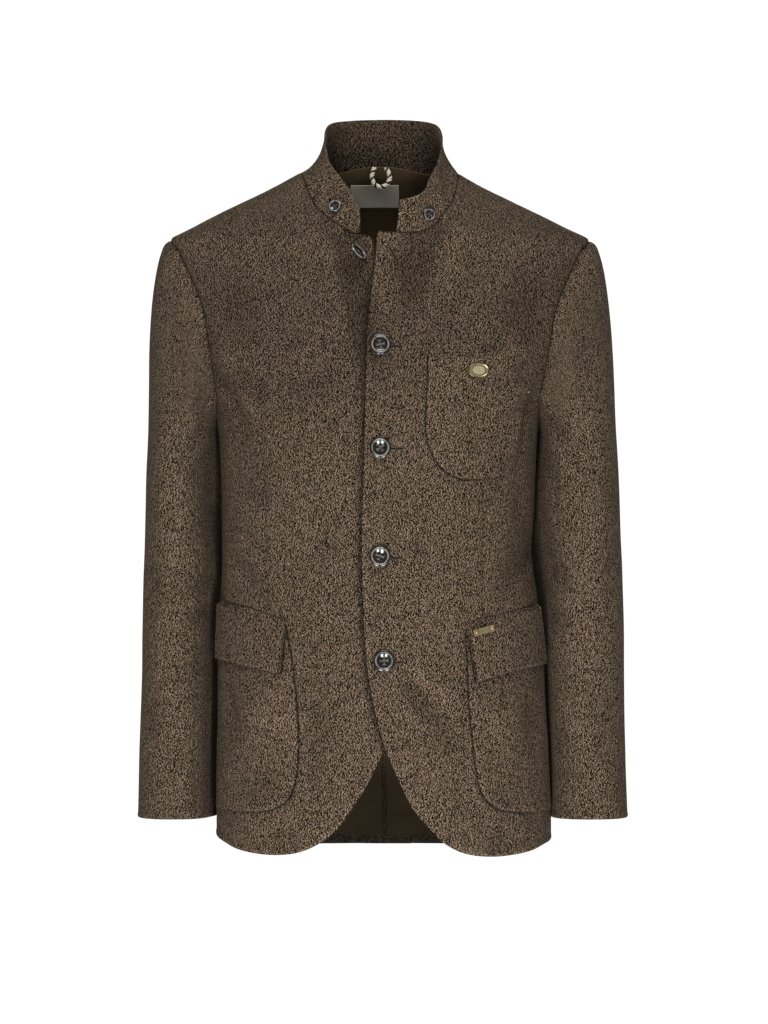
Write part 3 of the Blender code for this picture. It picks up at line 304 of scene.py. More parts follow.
class Table:
    """Smooth curves through the rows of a table, keyed by the first column."""

    def __init__(self, rows):
        a = np.array(sorted(rows), float)
        self.key, self.value = a[:, 0], a[:, 1:]
        n = np.arange(len(a))
        low, high = np.maximum(0, n - 1), np.minimum(len(a) - 1, n + 1)
        self.slope = (self.value[high] - self.value[low]) / (self.key[high] - self.key[low])[:, None]

    def __call__(self, key):
        key = np.clip(np.asarray(key, float), self.key[0], self.key[-1])
        i = np.clip(np.searchsorted(self.key, key, side="right") - 1, 0, len(self.key) - 2)
        span = self.key[i + 1] - self.key[i]
        t = ((key - self.key[i]) / span)[..., None]
        span = span[..., None]
        a, b = self.value[i], self.value[i + 1]
        return (
            a * (1 + 2 * t) * (1 - t) ** 2
            + b * t * t * (3 - 2 * t)
            + span * (self.slope[i] * t * (1 - t) ** 2 - self.slope[i + 1] * t * t * (1 - t))
        )


def lerp(a, b, t):
    return a + (b - a) * t


def smooth(t):
    t = np.clip(t, 0.0, 1.0)
    return t * t * (3 - 2 * t)


def bell(t):
    return np.exp(-t * t)


def unit(a):
    return a / np.maximum(np.linalg.norm(a, axis=-1, keepdims=True), 1e-12)


def curve_through(points, parts=8):
    """Centripetal Catmull-Rom line through a few points, both ends kept."""
    p = np.array(points, float)
    p = np.vstack([2 * p[0] - p[1], p, 2 * p[-1] - p[-2]])
    out = []
    for a, b, c, d in zip(p, p[1:], p[2:], p[3:]):
        t1 = math.sqrt(np.linalg.norm(b - a))
        t2 = t1 + math.sqrt(np.linalg.norm(c - b))
        t3 = t2 + math.sqrt(np.linalg.norm(d - c))
        t = (t1 + (t2 - t1) * np.arange(parts) / parts)[:, None]
        ab = a + (b - a) * (t / t1)
        bc = b + (c - b) * ((t - t1) / (t2 - t1))
        cd = c + (d - c) * ((t - t2) / (t3 - t2))
        abc = ab + (bc - ab) * (t / t2)
        bcd = bc + (cd - bc) * ((t - t1) / (t3 - t1))
        out.append(abc + (bcd - abc) * ((t - t1) / (t2 - t1)))
    return np.vstack([*out, p[-2][None]])


def reach_of(line):
    return np.concatenate([[0.0], np.cumsum(np.linalg.norm(np.diff(line, axis=0), axis=1))])


def at_share(line, share):
    reach = reach_of(line)
    want = np.asarray(share, float) * reach[-1]
    return np.stack([np.interp(want, reach, line[:, c]) for c in range(line.shape[1])], -1)


def spaced(line, step):
    count = max(1, round(reach_of(line)[-1] / step))
    return at_share(line, np.arange(count + 1) / count)


# ------------------------------------------------------------------ the body surface
BODY_T, ARMHOLE_T, SLEEVE_T, HEAD_T = Table(BODY), Table(ARMHOLE), Table(SLEEVE), Table(HEAD)


def body(theta, z):
    theta, z = np.broadcast_arrays(np.asarray(theta, float), np.asarray(z, float))
    row = BODY_T(z)
    middle, half, front, back, n = (row[..., k] for k in range(5))
    s, c = np.sin(theta), np.cos(theta)
    r = (np.abs(s) ** n + np.abs(c) ** n) ** (-1 / n)
    depth = np.where(c > 0, front, back)
    return np.stack([middle + half * r * s, CENTRE_Y - depth * r * c, z], -1)


def body_normal(theta, z):
    across = body(theta + 0.01, z) - body(theta - 0.01, z)
    up = body(theta, z + 1.5) - body(theta, z - 1.5)
    return unit(np.cross(across, up))


def theta_of(x, z, behind=False):
    x, z = np.broadcast_arrays(np.asarray(x, float), np.asarray(z, float))
    row = BODY_T(z)
    t = np.minimum(0.99999, np.abs(x - row[..., 0]) / row[..., 1]) ** row[..., 4]
    theta = np.arctan((t / (1 - t)) ** (1 / row[..., 4]))
    if behind:
        theta = math.pi - theta
    return np.copysign(theta, x - row[..., 0])


def flat(theta, z):
    return np.array([theta * DOMAIN, z], float)


def flat_line(points, behind=False):
    p = np.array(points, float)
    return np.stack([theta_of(p[:, 0], p[:, 1], behind) * DOMAIN, p[:, 1]], -1)


def front_curve(points, parts=8):
    return flat_line(curve_through(points, parts))


def on_body(uv):
    return body(uv[:, 0] / DOMAIN, uv[:, 1]), body_normal(uv[:, 0] / DOMAIN, uv[:, 1])


def body_slopes(uv):
    theta, z = uv[:, 0] / DOMAIN, uv[:, 1]
    du = (body(theta + 0.005, z) - body(theta - 0.005, z)) / (0.01 * DOMAIN)
    dv = (body(theta, z + 1) - body(theta, z - 1)) / 2
    return du, dv


# Laid out for the net, the shoulder slope is stretched, so that the net keeps its pitch there.
LAY_Z = np.array([-780.0, -85.0, -65.0, 40.0])
LAY_V = np.array([-780.0, -85.0, -57.0, 180.0])


def lay(uv):
    return np.stack([uv[:, 0], np.interp(uv[:, 1], LAY_Z, LAY_V)], -1)


def unlay(uv):
    return np.stack([uv[:, 0], np.interp(uv[:, 1], LAY_V, LAY_Z)], -1)


# ------------------------------------------------------------------ creases
def crease_lines():
    out = []
    for name, where, width, depth, lean, start, end, path in CREASES:
        p = curve_through(path, 5)
        theta = theta_of(p[:, 0], p[:, 1], where == "back")
        out.append((body(theta, p[:, 1]), body_normal(theta, p[:, 1]), width, depth, lean, start, end))
    return out


def sleeve_crease_lines(side):
    out = []
    for arm, width, depth, lean, start, end, path in SLEEVE_CREASES:
        if arm != side:
            continue
        p = curve_through(path, 5)
        share = sleeve_share(side, p[:, 0], p[:, 1])
        q = sleeve(side, p[:, 0], share)
        out.append((q, sleeve_normal(side, p[:, 0], share), width, depth, lean, start, end))
    return out


def creased(points, lines, scale=1.0):
    """How far the cloth stands off its plain form at each point, in millimetres."""
    total = np.zeros(len(points))
    for line, normal, width, depth, lean, start, end in lines:
        low, high = line.min(0) - 3.2 * width, line.max(0) + 3.2 * width
        near = np.where(((points > low) & (points < high)).all(1))[0]
        if not len(near):
            continue
        p = points[near]
        best = np.full(len(p), 1e9)
        share, side = np.zeros(len(p)), np.zeros(len(p))
        reach = reach_of(line)
        for k in range(len(line) - 1):
            a, ab = line[k], line[k + 1] - line[k]
            t = np.clip((p - a) @ ab / (ab @ ab), 0, 1)
            off = p - a - t[:, None] * ab
            d = np.linalg.norm(off, axis=1)
            m = d < best
            best[m] = d[m]
            share[m] = ((reach[k] + t * (reach[k + 1] - reach[k])) / reach[-1])[m]
            side[m] = np.sign(off @ np.cross(normal[k], ab))[m]
        w = width * (1 + lean * side)
        q = best / w
        along = smooth(share / max(start, 0.02)) * smooth((1 - share) / max(end, 0.02))
        shape = -bell(q) + 0.28 * bell((q - 1.85) / 0.85)
        total[near] += depth * along * shape
    return total * scale


BODY_CREASES = crease_lines()


def ripple(points):
    """Slow unevenness that cloth keeps everywhere, a few tenths of a millimetre."""
    x, y, z = points.T
    a = np.sin(x / 21.0 + 1.3 * np.sin(z / 47.0) + y / 33.0) * np.sin(z / 38.0 + 0.8 * np.sin(x / 29.0))
    b = np.sin(x / 47.0 - z / 61.0 + 2.1) * np.sin(z / 83.0 + y / 51.0 + 0.4)
    c = np.sin(x / 9.5 + z / 27.0) * np.sin(z / 13.0 - y / 11.0 + 1.1)
    return 0.35 * a + 0.75 * b + 0.10 * c


def body_move(points):
    tip = np.min([np.linalg.norm(points - (x, CENTRE_Y, z), axis=1) for x, z in ((-227.5, -70.5), (225.5, -67.5))], axis=0)
    return creased(points, BODY_CREASES, 1.5) + ripple(points) + 2.2 * bell(tip / 7) + 1.2 * bell(tip / 3)


# ------------------------------------------------------------------ outlines of the cut pieces
def neck_point(angle):
    angle = np.asarray(angle, float)
    s, c = np.sin(angle), np.cos(angle)
    depth = np.where(c > 0, NECK_FRONT, NECK_BACK)
    n = np.where(c > 0, np.where(s > 0, NECK_SQUARE[1], NECK_SQUARE[0]), NECK_SQUARE[2])
    r = (np.abs(s) ** n + np.abs(c) ** n) ** (-1 / n)
    x, y = NECK_MIDDLE + NECK_HALF * r * s, -depth * r * c
    low, high = np.full(x.shape, -90.0), np.full(x.shape, 23.0)
    for _ in range(40):
        z = (low + high) / 2
        row = BODY_T(z)
        across = np.abs(x - row[..., 0]) / row[..., 1]
        deep = np.abs(y) / np.where(y < 0, row[..., 2], row[..., 3])
        inside_ = across ** row[..., 4] + deep ** row[..., 4] < 1
        low, high = np.where(inside_, z, low), np.where(inside_, high, z)
    row = BODY_T(z)
    deep = np.where(c > 0, row[..., 2], row[..., 3])
    theta = np.arctan2((x - row[..., 0]) / row[..., 1], -y / deep)
    theta = theta + 2 * math.pi * np.round((angle - theta) / (2 * math.pi))
    return np.stack([theta * DOMAIN, z], -1)


def neck_arc(first, last, count=60):
    return neck_point(np.linspace(first, last, count))


def neck_angle(x):
    low, high = -math.pi / 2, math.pi / 2
    for _ in range(40):
        angle = (low + high) / 2
        s, c = math.sin(angle), math.cos(angle)
        n = NECK_SQUARE[1 if s > 0 else 0]
        if NECK_MIDDLE + NECK_HALF * s * (abs(s) ** n + abs(c) ** n) ** (-1 / n) < x:
            low = angle
        else:
            high = angle
    return angle


def scye(side, behind):
    """Half an armhole, flat, from the shoulder point to the side seam."""
    z = np.linspace(ARMHOLE[0][0], ARMHOLE[-1][0], 27)
    x = ARMHOLE_T(z)[:, 1 if behind else 0]
    run = np.stack([theta_of(BODY_T(z)[:, 0] + side * x, z, behind) * DOMAIN, z], -1)
    head = np.array([flat(side * math.pi / 2, SHOULDER_POINT), flat(side * math.radians(96 if behind else 84), SHOULDER_POINT - 3.2)])
    end = flat(side * SIDE_SEAM, UNDERARM)
    middle = np.array([lerp(run[-1][0], end[0], 0.5), UNDERARM + 5.5])
    under = curve_through([run[-1], middle, end], 5)
    return np.vstack([head, run[:-1], under])


def shoulder_line(side):
    top = neck_point(side * math.pi / 2)[1]
    return np.stack([np.full(12, side * math.pi / 2 * DOMAIN), np.linspace(SHOULDER_POINT, top, 12)], -1)


def front_sides(side, edge):
    """The sides of a front, with what each one is: a finished edge or a seam."""
    bottom = flat(side * SIDE_SEAM, -719.0 if side > 0 else -713.0)
    hem = np.vstack([front_curve(edge), bottom])
    neck = neck_arc(side * math.pi / 2, neck_angle(edge[0][0]), 80)
    neck[-1] = hem[0]
    return [
        (hem, "edge"),
        (np.array([bottom, flat(side * SIDE_SEAM, UNDERARM)]), "seam"),
        (scye(side, False)[::-1], "scye"),
        (shoulder_line(side), "seam"),
        (neck, "neck"),
    ]


def back_sides(side, lap):
    share = np.linspace(0, 1, 30)
    start = -719 if side > 0 else -713
    hem = np.stack([side * lerp(SIDE_SEAM, math.pi, share) * DOMAIN, lerp(start, HEM_BACK, smooth(share * 1.4))], -1)[::-1]
    top = flat(side * math.pi, neck_point(side * math.pi)[1])
    vent = flat(side * math.pi, VENT_TOP)
    if lap:
        past = side * (math.pi * DOMAIN + lap * DOMAIN / BODY_T(-600.0)[1])
        low = np.array([past, HEM_BACK])
        sides = [
            (np.array([top, vent]), "seam"),
            (np.array([vent, [past, VENT_TOP - 14]]), "plain"),
            (np.array([[past, VENT_TOP - 14], low]), "edge"),
            (np.array([low, hem[0]]), "edge"),
        ]
    else:
        sides = [(np.array([top, vent]), "seam"), (np.array([vent, hem[0]]), "edge")]
    neck = neck_arc(side * math.pi / 2, side * math.pi, 60)
    neck[-1] = top
    return sides + [
        (hem, "edge"),
        (np.array([hem[-1], flat(side * SIDE_SEAM, UNDERARM)]), "seam"),
        (scye(side, True)[::-1], "scye"),
        (shoulder_line(side), "seam"),
        (neck, "neck"),
    ]


EDGE_LEFT_T = Table([(z, x) for x, z in EDGE_LEFT])


def under_lap(uv):
    """The right front sinks under the left one near the left one's edge."""
    x = body(uv[:, 0] / DOMAIN, uv[:, 1])[:, 0]
    return -(CLOTH + LAP) * smooth((x - EDGE_LEFT_T(uv[:, 1])[:, 0] + 32) / 26)


def vent_sink(uv):
    past = (np.abs(uv[:, 0]) - math.pi * DOMAIN) + 28
    return -(CLOTH + LAP) * smooth(past / 24) * smooth((VENT_TOP + 34 - uv[:, 1]) / 30)


def lining_layer(uv):
    away = np.abs(np.abs(uv[:, 0]) - math.pi * DOMAIN)
    near_vent = smooth((75 - away) / 28) * smooth((VENT_TOP + 75 - uv[:, 1]) / 35)
    return -(CLOTH + LINING_AIR) - (CLOTH + LAP + 0.3) * near_vent


def lining_sides():
    whole = 2 * math.pi * DOMAIN
    slit, slit_top = math.pi * DOMAIN - 2.6, VENT_TOP + 20
    side = SIDE_SEAM + 0.03
    scye_line = spaced(scye(1, True), 15)[::-1][1:-4] + np.array([3.2, 2.5])
    left = np.vstack([flat(side, -712), flat(side, UNDERARM - 4), scye_line, flat(math.radians(98), -66)])
    neck = neck_arc(math.radians(96), math.pi, 40)[:-1] + np.array([0, LINING_RISE])
    half = np.vstack([left, neck])
    right = np.stack([whole - half[::-1, 0], half[::-1, 1]], -1)
    right[-1] = flat(2 * math.pi - side, -706)
    top = flat(math.pi, neck_point(math.pi)[1] + LINING_RISE)
    a, b = np.array([slit + 3.4, LINING_HEM]), np.array([slit + 3.4, slit_top])
    c, d = np.array([slit, slit_top]), np.array([slit, LINING_HEM])
    return [
        (np.vstack([half, top, right]), "plain"),
        (np.array([right[-1], a]), "edge"),
        (np.array([a, b]), "edge"),
        (np.array([b, c]), "edge"),
        (np.array([c, d]), "edge"),
        (np.array([d, half[0]]), "edge"),
    ]


# ------------------------------------------------------------------ making meshes
def inside(p, poly):
    out = np.zeros(len(p), bool)
    x, y = p[:, 0], p[:, 1]
    for (ax, ay), (bx, by) in zip(poly, np.roll(poly, -1, 0)):
        if ay != by:
            out ^= ((ay > y) != (by > y)) & (x < (bx - ax) * (y - ay) / (by - ay) + ax)
    return out


def inward(outline, slopes):
    """The flat step, at each outline point, that moves it inwards by a millimetre of cloth."""
    a, b = outline, np.roll(outline, -1, 0)
    turn = 1 if (a[:, 0] * b[:, 1] - b[:, 0] * a[:, 1]).sum() > 0 else -1
    du, dv = slopes(outline)
    uu, uv_, vv = (du * du).sum(1), (du * dv).sum(1), (dv * dv).sum(1)
    det = uu * vv - uv_ * uv_
    up = unit(np.cross(du, dv))
    total = np.zeros((len(outline), 3))
    for p, q in ((np.roll(outline, 1, 0), outline), (outline, np.roll(outline, -1, 0))):
        step = q - p
        along = unit(du * step[:, :1] + dv * step[:, 1:])
        total += np.cross(up, along) * turn
    total = unit(total)
    iu, iv = (total * du).sum(1), (total * dv).sum(1)
    return np.stack([(iu * vv - iv * uv_) / det, (iv * uu - iu * uv_) / det], -1)


RINGS = (0.5, 1.1, 1.9, 3.1, 4.8)


def line_normals(pts, closed_, slopes):
    """The flat step, at each point of a line, that moves it sideways by a millimetre of cloth."""
    step = np.roll(pts, -1, 0) - np.roll(pts, 1, 0) if closed_ else np.gradient(pts, axis=0)
    du, dv = slopes(pts)
    uu, uv_, vv = (du * du).sum(1), (du * dv).sum(1), (dv * dv).sum(1)
    det = uu * vv - uv_ * uv_
    side = np.cross(unit(np.cross(du, dv)), unit(du * step[:, :1] + dv * step[:, 1:]))
    iu, iv = (side * du).sum(1), (side * dv).sum(1)
    return np.stack([(iu * vv - iv * uv_) / det, (iv * uu - iu * uv_) / det], -1)


def line_distance(points, path, closed_=False):
    """Distance from each point to a line in space."""
    path = np.vstack([path, path[:1]]) if closed_ else path
    low, high = path.min(0) - 17, path.max(0) + 17
    best = np.full(len(points), 99.0)
    near = np.where(((points > low) & (points < high)).all(1))[0]
    p = points[near]
    d = np.full(len(p), 99.0)
    for a, b in zip(path, path[1:]):
        ab = b - a
        t = np.clip((p - a) @ ab / max(ab @ ab, 1e-9), 0, 1)
        d = np.minimum(d, np.linalg.norm(p - a - t[:, None] * ab, axis=1))
    best[near] = d
    return best


def mesh_object(name, points, faces, mat, smooth_angle=None, marks=None):
    """A mesh in metres from points in millimetres. marks are numbers kept at each point, for the material."""
    mesh = bpy.data.meshes.new(name)
    points = np.asarray(points, float) * 0.001
    mesh.from_pydata(points.tolist(), [], [tuple(int(i) for i in f) for f in faces])
    mesh.update()
    mesh.shade_smooth()
    if smooth_angle:
        mesh.set_sharp_from_angle(angle=math.radians(smooth_angle))
    for m in mat if isinstance(mat, (list, tuple)) else [mat]:
        mesh.materials.append(m)
    for key, values in (marks or {}).items():
        values = np.asarray(values, np.float32)
        vector = values.ndim == 2
        layer = mesh.attributes.new(key, "FLOAT_VECTOR" if vector else "FLOAT", "POINT")
        layer.data.foreach_set("vector" if vector else "value", values.ravel())
    obj = bpy.data.objects.new(name, mesh)
    scene.collection.objects.link(obj)
    return obj


def outward(points, faces):
    """Turns all the triangles round if the closed mesh is inside out."""
    p = points - points.mean(0)
    a, b, c = p[faces[:, 0]], p[faces[:, 1]], p[faces[:, 2]]
    return faces if (a * np.cross(b, c)).sum() > 0 else faces[:, ::-1]


def shell(outer, inner, faces):
    """A closed shell from two faces with the same triangles."""
    n = len(outer)
    half = np.concatenate([faces[:, [0, 1]], faces[:, [1, 2]], faces[:, [2, 0]]])
    code = half[:, 0].astype(np.int64) * n + half[:, 1]
    back = half[:, 1].astype(np.int64) * n + half[:, 0]
    rim = half[~np.isin(code, back)]
    a, b = rim[:, 1], rim[:, 0]
    faces = np.concatenate([faces, faces[:, ::-1] + n, np.stack([a, b, b + n], -1), np.stack([a, b + n, a + n], -1)])
    points = np.concatenate([outer, inner])
    return points, outward(points, faces)


SCYE_DIP, NECK_DIP = 0.9, 0.7


# edges sewn down flat: how high the cloth stands, how high its edge lies, and how far in it comes up
SEWN_EDGES = {
    "mouth": (POCKET_AIR + 0.5 + CLOTH, 0.7, 8.0),
    "faint": (POCKET_AIR + 0.5 + CLOTH, 0.3, 20.0),
}


def edge_form(d, kind, thick):
    """How far the outer and the inner face move, by distance from the edge and by what the edge is."""
    out, into = np.zeros(len(d)), np.zeros(len(d))
    q = np.clip(d / (thick * 0.62), 0, 1)
    turn = thick / 2 * (1 - np.maximum(np.sqrt(1 - (1 - q) ** 2), 0.10))
    m = kind == "seam"
    out[m] = (-1.0 * bell(d / 1.7) + 0.30 * bell((d - 6.0) / 3.5))[m]
    into[m] = (-1.9 * bell(d / 2.5))[m]
    m = kind == "scye"
    out[m] = (-SCYE_DIP * bell(d / 2.2) + 0.35 * bell((d - 8.0) / 4.5))[m]
    into[m] = (-1.9 * bell(d / 2.5))[m]
    m = kind == "neck"
    out[m] = (-NECK_DIP * bell(d / 2.0))[m]
    into[m] = (-1.5 * bell(d / 2.5))[m]
    m = kind == "edge"
    ridge = 0.55 * bell((d - 2.6) / 1.9) - 0.32 * bell((d - 7.2) / 1.6)
    out[m], into[m] = (ridge - turn)[m], (ridge * 0.5 + turn)[m]
    m = kind == "patch"
    press = -1.05 * bell(d / 3.6)
    welt = 0.30 * bell((d - 3.6) / 1.7) - 0.30 * bell((d - 6.6) / 1.3)
    out[m], into[m] = (press + welt - turn)[m], (press + turn * 0.5)[m]
    m = np.isin(kind, ("plain", "sewn", "under"))
    out[m], into[m] = (-turn)[m], turn[m]
    for name, (stand, flush, reach) in SEWN_EDGES.items():
        m = kind == name
        rise = smooth(d / reach)
        out[m] = (-(stand - flush) * (1 - rise))[m]
        into[m] = out[m] + (thick * 0.9 * (1 - smooth(d / (reach * 0.8))))[m]
    return out, into


def edge_marks(d, kind):
    """Painted shade as a dark line along seams and edges, and paler wear with a painted highlight along rolled edges,
    from 0 to 1.
    """
    line, wear_and_highlight = np.zeros(len(d)), np.zeros(len(d))
    # seams, armholes, neck and patch edges: a dark line of painted shade in the groove
    for name, deep, wide in (("seam", 0.85, 0.95), ("scye", 1.0, 1.15), ("neck", 1.0, 1.1), ("patch", 0.85, 0.8), ("sewn", 0.6, 0.55), ("mouth", 0.4, 0.5)):
        m = kind == name
        line[m] = (deep * bell(d / wide))[m]
    # finished edges: paler wear with a painted highlight on the roll, and a thin line of painted shade at the very edge
    m = kind == "edge"
    wear_and_highlight[m] = (bell((d - 1.6) / 1.7))[m]
    line[m] = (0.35 * bell(d / 0.5))[m]
    m = kind == "patch"
    wear_and_highlight[m] = (0.55 * bell((d - 2.4) / 1.4))[m]
    return line, wear_and_highlight


# ------------------------------------------------------------------ the cloth's own grain, in metres
GRAIN_T = np.linspace(-2 * math.pi, 2 * math.pi, 721)
GRAIN_Z = np.linspace(-760, 24, 197)


def grain_tables():
    t, z = np.meshgrid(GRAIN_T, GRAIN_Z)
    p = body(t, z)
    across = np.linalg.norm(np.diff(p, axis=1), axis=2)
    along_t = np.concatenate([np.zeros((len(GRAIN_Z), 1)), np.cumsum(across, 1)], 1)
    along_t -= along_t[:, 360:361]
    up = np.linalg.norm(np.diff(p, axis=0), axis=2)
    along_z = np.concatenate([np.zeros((1, len(GRAIN_T))), np.cumsum(up, 0)], 0)
    return along_t, along_z


GRAIN_ACROSS, GRAIN_UP = grain_tables()


def body_grain(uv):
    """Millimetres along the weft and the warp for points of the body surface."""
    i = (uv[:, 0] / DOMAIN - GRAIN_T[0]) / (GRAIN_T[1] - GRAIN_T[0])
    j = (uv[:, 1] - GRAIN_Z[0]) / (GRAIN_Z[1] - GRAIN_Z[0])
    i, j = np.clip(i, 0, len(GRAIN_T) - 1.001), np.clip(j, 0, len(GRAIN_Z) - 1.001)
    a, b = i.astype(int), j.astype(int)
    fi, fj = i - a, j - b
    out = []
    for table in (GRAIN_ACROSS, GRAIN_UP):
        low = table[b, a] * (1 - fi) + table[b, a + 1] * fi
        high = table[b + 1, a] * (1 - fi) + table[b + 1, a + 1] * fi
        out.append(low * (1 - fj) + high * fj)
    # a back piece's weft is counted from the centre back, so that it doesn't slant under the collar
    about = round(float(np.mean(uv[:, 0])) / DOMAIN / math.pi) * math.pi
    k = int(round((about - GRAIN_T[0]) / (GRAIN_T[1] - GRAIN_T[0])))
    out[0] = out[0] - (GRAIN_ACROSS[b, k] * (1 - fj) + GRAIN_ACROSS[b + 1, k] * fj)
    return np.stack(out, -1)


class Net:
    """A cloth piece laid out flat: its outline, the net inside it, and each point's way to the edge."""

    def __init__(self, sides, step, surface=on_body, slopes=body_slopes, gap=SEAM, edge_step=3.0, lines=()):
        outline, kinds = [], []
        for line, kind in sides:
            pts = unlay(spaced(lay(line), edge_step))[:-1]
            outline.append(pts)
            kinds += [kind] * len(pts)
        outline = np.vstack(outline)
        move = inward(outline, slopes)
        outline = outline + move * gap
        self.outline = outline
        dense, dense_kind = [], []
        surf = surface(outline)[0]
        for k in range(len(surf)):
            for t in (0, 0.25, 0.5, 0.75):
                dense.append(surf[k] + (surf[(k + 1) % len(surf)] - surf[k]) * t)
                dense_kind.append(kinds[k])
        tree = kdtree.KDTree(len(dense))
        for i, p in enumerate(dense):
            tree.insert(p, i)
        tree.balance()
        self.tree, self.dense_kind = tree, dense_kind

        def way(uv):
            found = [tree.find(p) for p in surface(uv)[0]]
            return np.array([f[2] for f in found]), np.array([dense_kind[f[1]] for f in found])

        extra = []
        for d in RINGS:
            ring = outline + move * d
            if d > 2.5:
                ring = ring[::2]
            far, _ = way(ring)
            extra.append(ring[(far > 0.82 * d) & inside(ring, outline)])
        low, high = lay(outline).min(0), lay(outline).max(0)
        rows = np.arange(low[1] + step / 2, high[1], step * 0.87)
        grid = []
        for j, v in enumerate(rows):
            u = np.arange(low[0] + (step / 2 if j % 2 else 0.0), high[0], step)
            grid.append(np.stack([u, np.full(len(u), v)], -1))
        grid = unlay(np.vstack(grid))
        grid = grid[inside(grid, outline)]
        far, _ = way(grid)
        grid = grid[far > RINGS[-1] + step * 0.45]
        self.lines = []
        for line, closed_, reach, bite in lines:
            pts = unlay(spaced(lay(line), 2.6))
            if closed_:
                pts = pts[:-1]
            side = line_normals(pts, closed_, slopes)
            self.lines.append((surface(pts)[0], closed_, reach, bite))
            strip = np.vstack([pts + side * d for d in (-2.0, -0.9, 0.0, 0.9, 2.0)])
            strip = strip[inside(strip, outline)]
            if len(strip):
                away, _ = way(strip)
                strip = strip[away > 2.2]
            tree2 = kdtree.KDTree(len(pts))
            for i, q in enumerate(surface(pts)[0]):
                tree2.insert(q, i)
            tree2.balance()
            near = np.array([tree2.find(q)[2] for q in surface(grid)[0]])
            grid = grid[near > 2.0 + step * 0.5]
            extra = [e[np.array([tree2.find(q)[2] for q in surface(e)[0]]) > 2.6] if len(e) else e for e in extra]
            extra.append(strip)
        uv = np.vstack([outline, *extra, grid])
        laid = lay(uv)
        n = len(outline)
        verts, _, faces, *_ = delaunay_2d_cdt([Vector(p) for p in laid], [(i, (i + 1) % n) for i in range(n)], [], 0, 1e-6, False)
        verts = np.array([tuple(v) for v in verts])
        faces = np.array([tuple(f) for f in faces if len(f) == 3])
        a, b, c = (verts[faces[:, k]] for k in range(3))
        area = np.abs((b[:, 0] - a[:, 0]) * (c[:, 1] - a[:, 1]) - (b[:, 1] - a[:, 1]) * (c[:, 0] - a[:, 0]))
        faces = faces[(area > 1e-3) & inside((a + b + c) / 3, lay(outline))]
        used = np.unique(faces)
        index = np.full(len(verts), -1)
        index[used] = np.arange(len(used))
        self.uv, self.faces = unlay(verts[used]), index[faces]
        self.base, self.normal = surface(self.uv)
        self.far, self.kind = way(self.uv)

    def raise_(self, layer, thick, move, shift=(0.0, 0.0), bite=None):
        """The closed shell, and the numbers its material uses."""
        out, into = edge_form(self.far, self.kind, thick)
        height = (layer(self.uv) if callable(layer) else np.full(len(self.uv), float(layer))) + move
        line, wear_and_highlight = edge_marks(self.far, self.kind)
        # painted shadow: a fine dark line along each outline laid on this piece
        for path, closed_, reach, deep in self.lines:
            d = line_distance(self.base, path, closed_)
            line = np.maximum(line, deep * bell(d / reach))
        outer = self.base + self.normal * (height + out)[:, None]
        inner = self.base + self.normal * (height - thick + into)[:, None]
        points, faces = shell(outer, inner, self.faces)
        grain = body_grain(self.uv) + np.array(shift)
        flat_ = np.column_stack([grain, np.zeros(len(grain))]) * 0.001
        deep_ = np.column_stack([grain, np.full(len(grain), -thick)]) * 0.001
        # painted shading: crease troughs darker and crease ridges lighter, by how far the cloth is moved
        painted_shading = np.clip(move / 2.5, -1.5, 1.5)
        marks = {"grain": np.vstack([flat_, deep_]), "line": np.tile(line, 2), "wear_and_highlight": np.tile(wear_and_highlight, 2), "painted_shading": np.tile(painted_shading, 2)}
        return points, faces, marks


def area_of(obj):
    mesh = obj.data
    return sum(p.area for p in mesh.polygons)


# ------------------------------------------------------------------ materials
def srgb(r, g, b):
    def one(v):
        v /= 255
        return v / 12.92 if v <= 0.04045 else ((v + 0.055) / 1.055) ** 2.4

    return (one(r), one(g), one(b), 1.0)


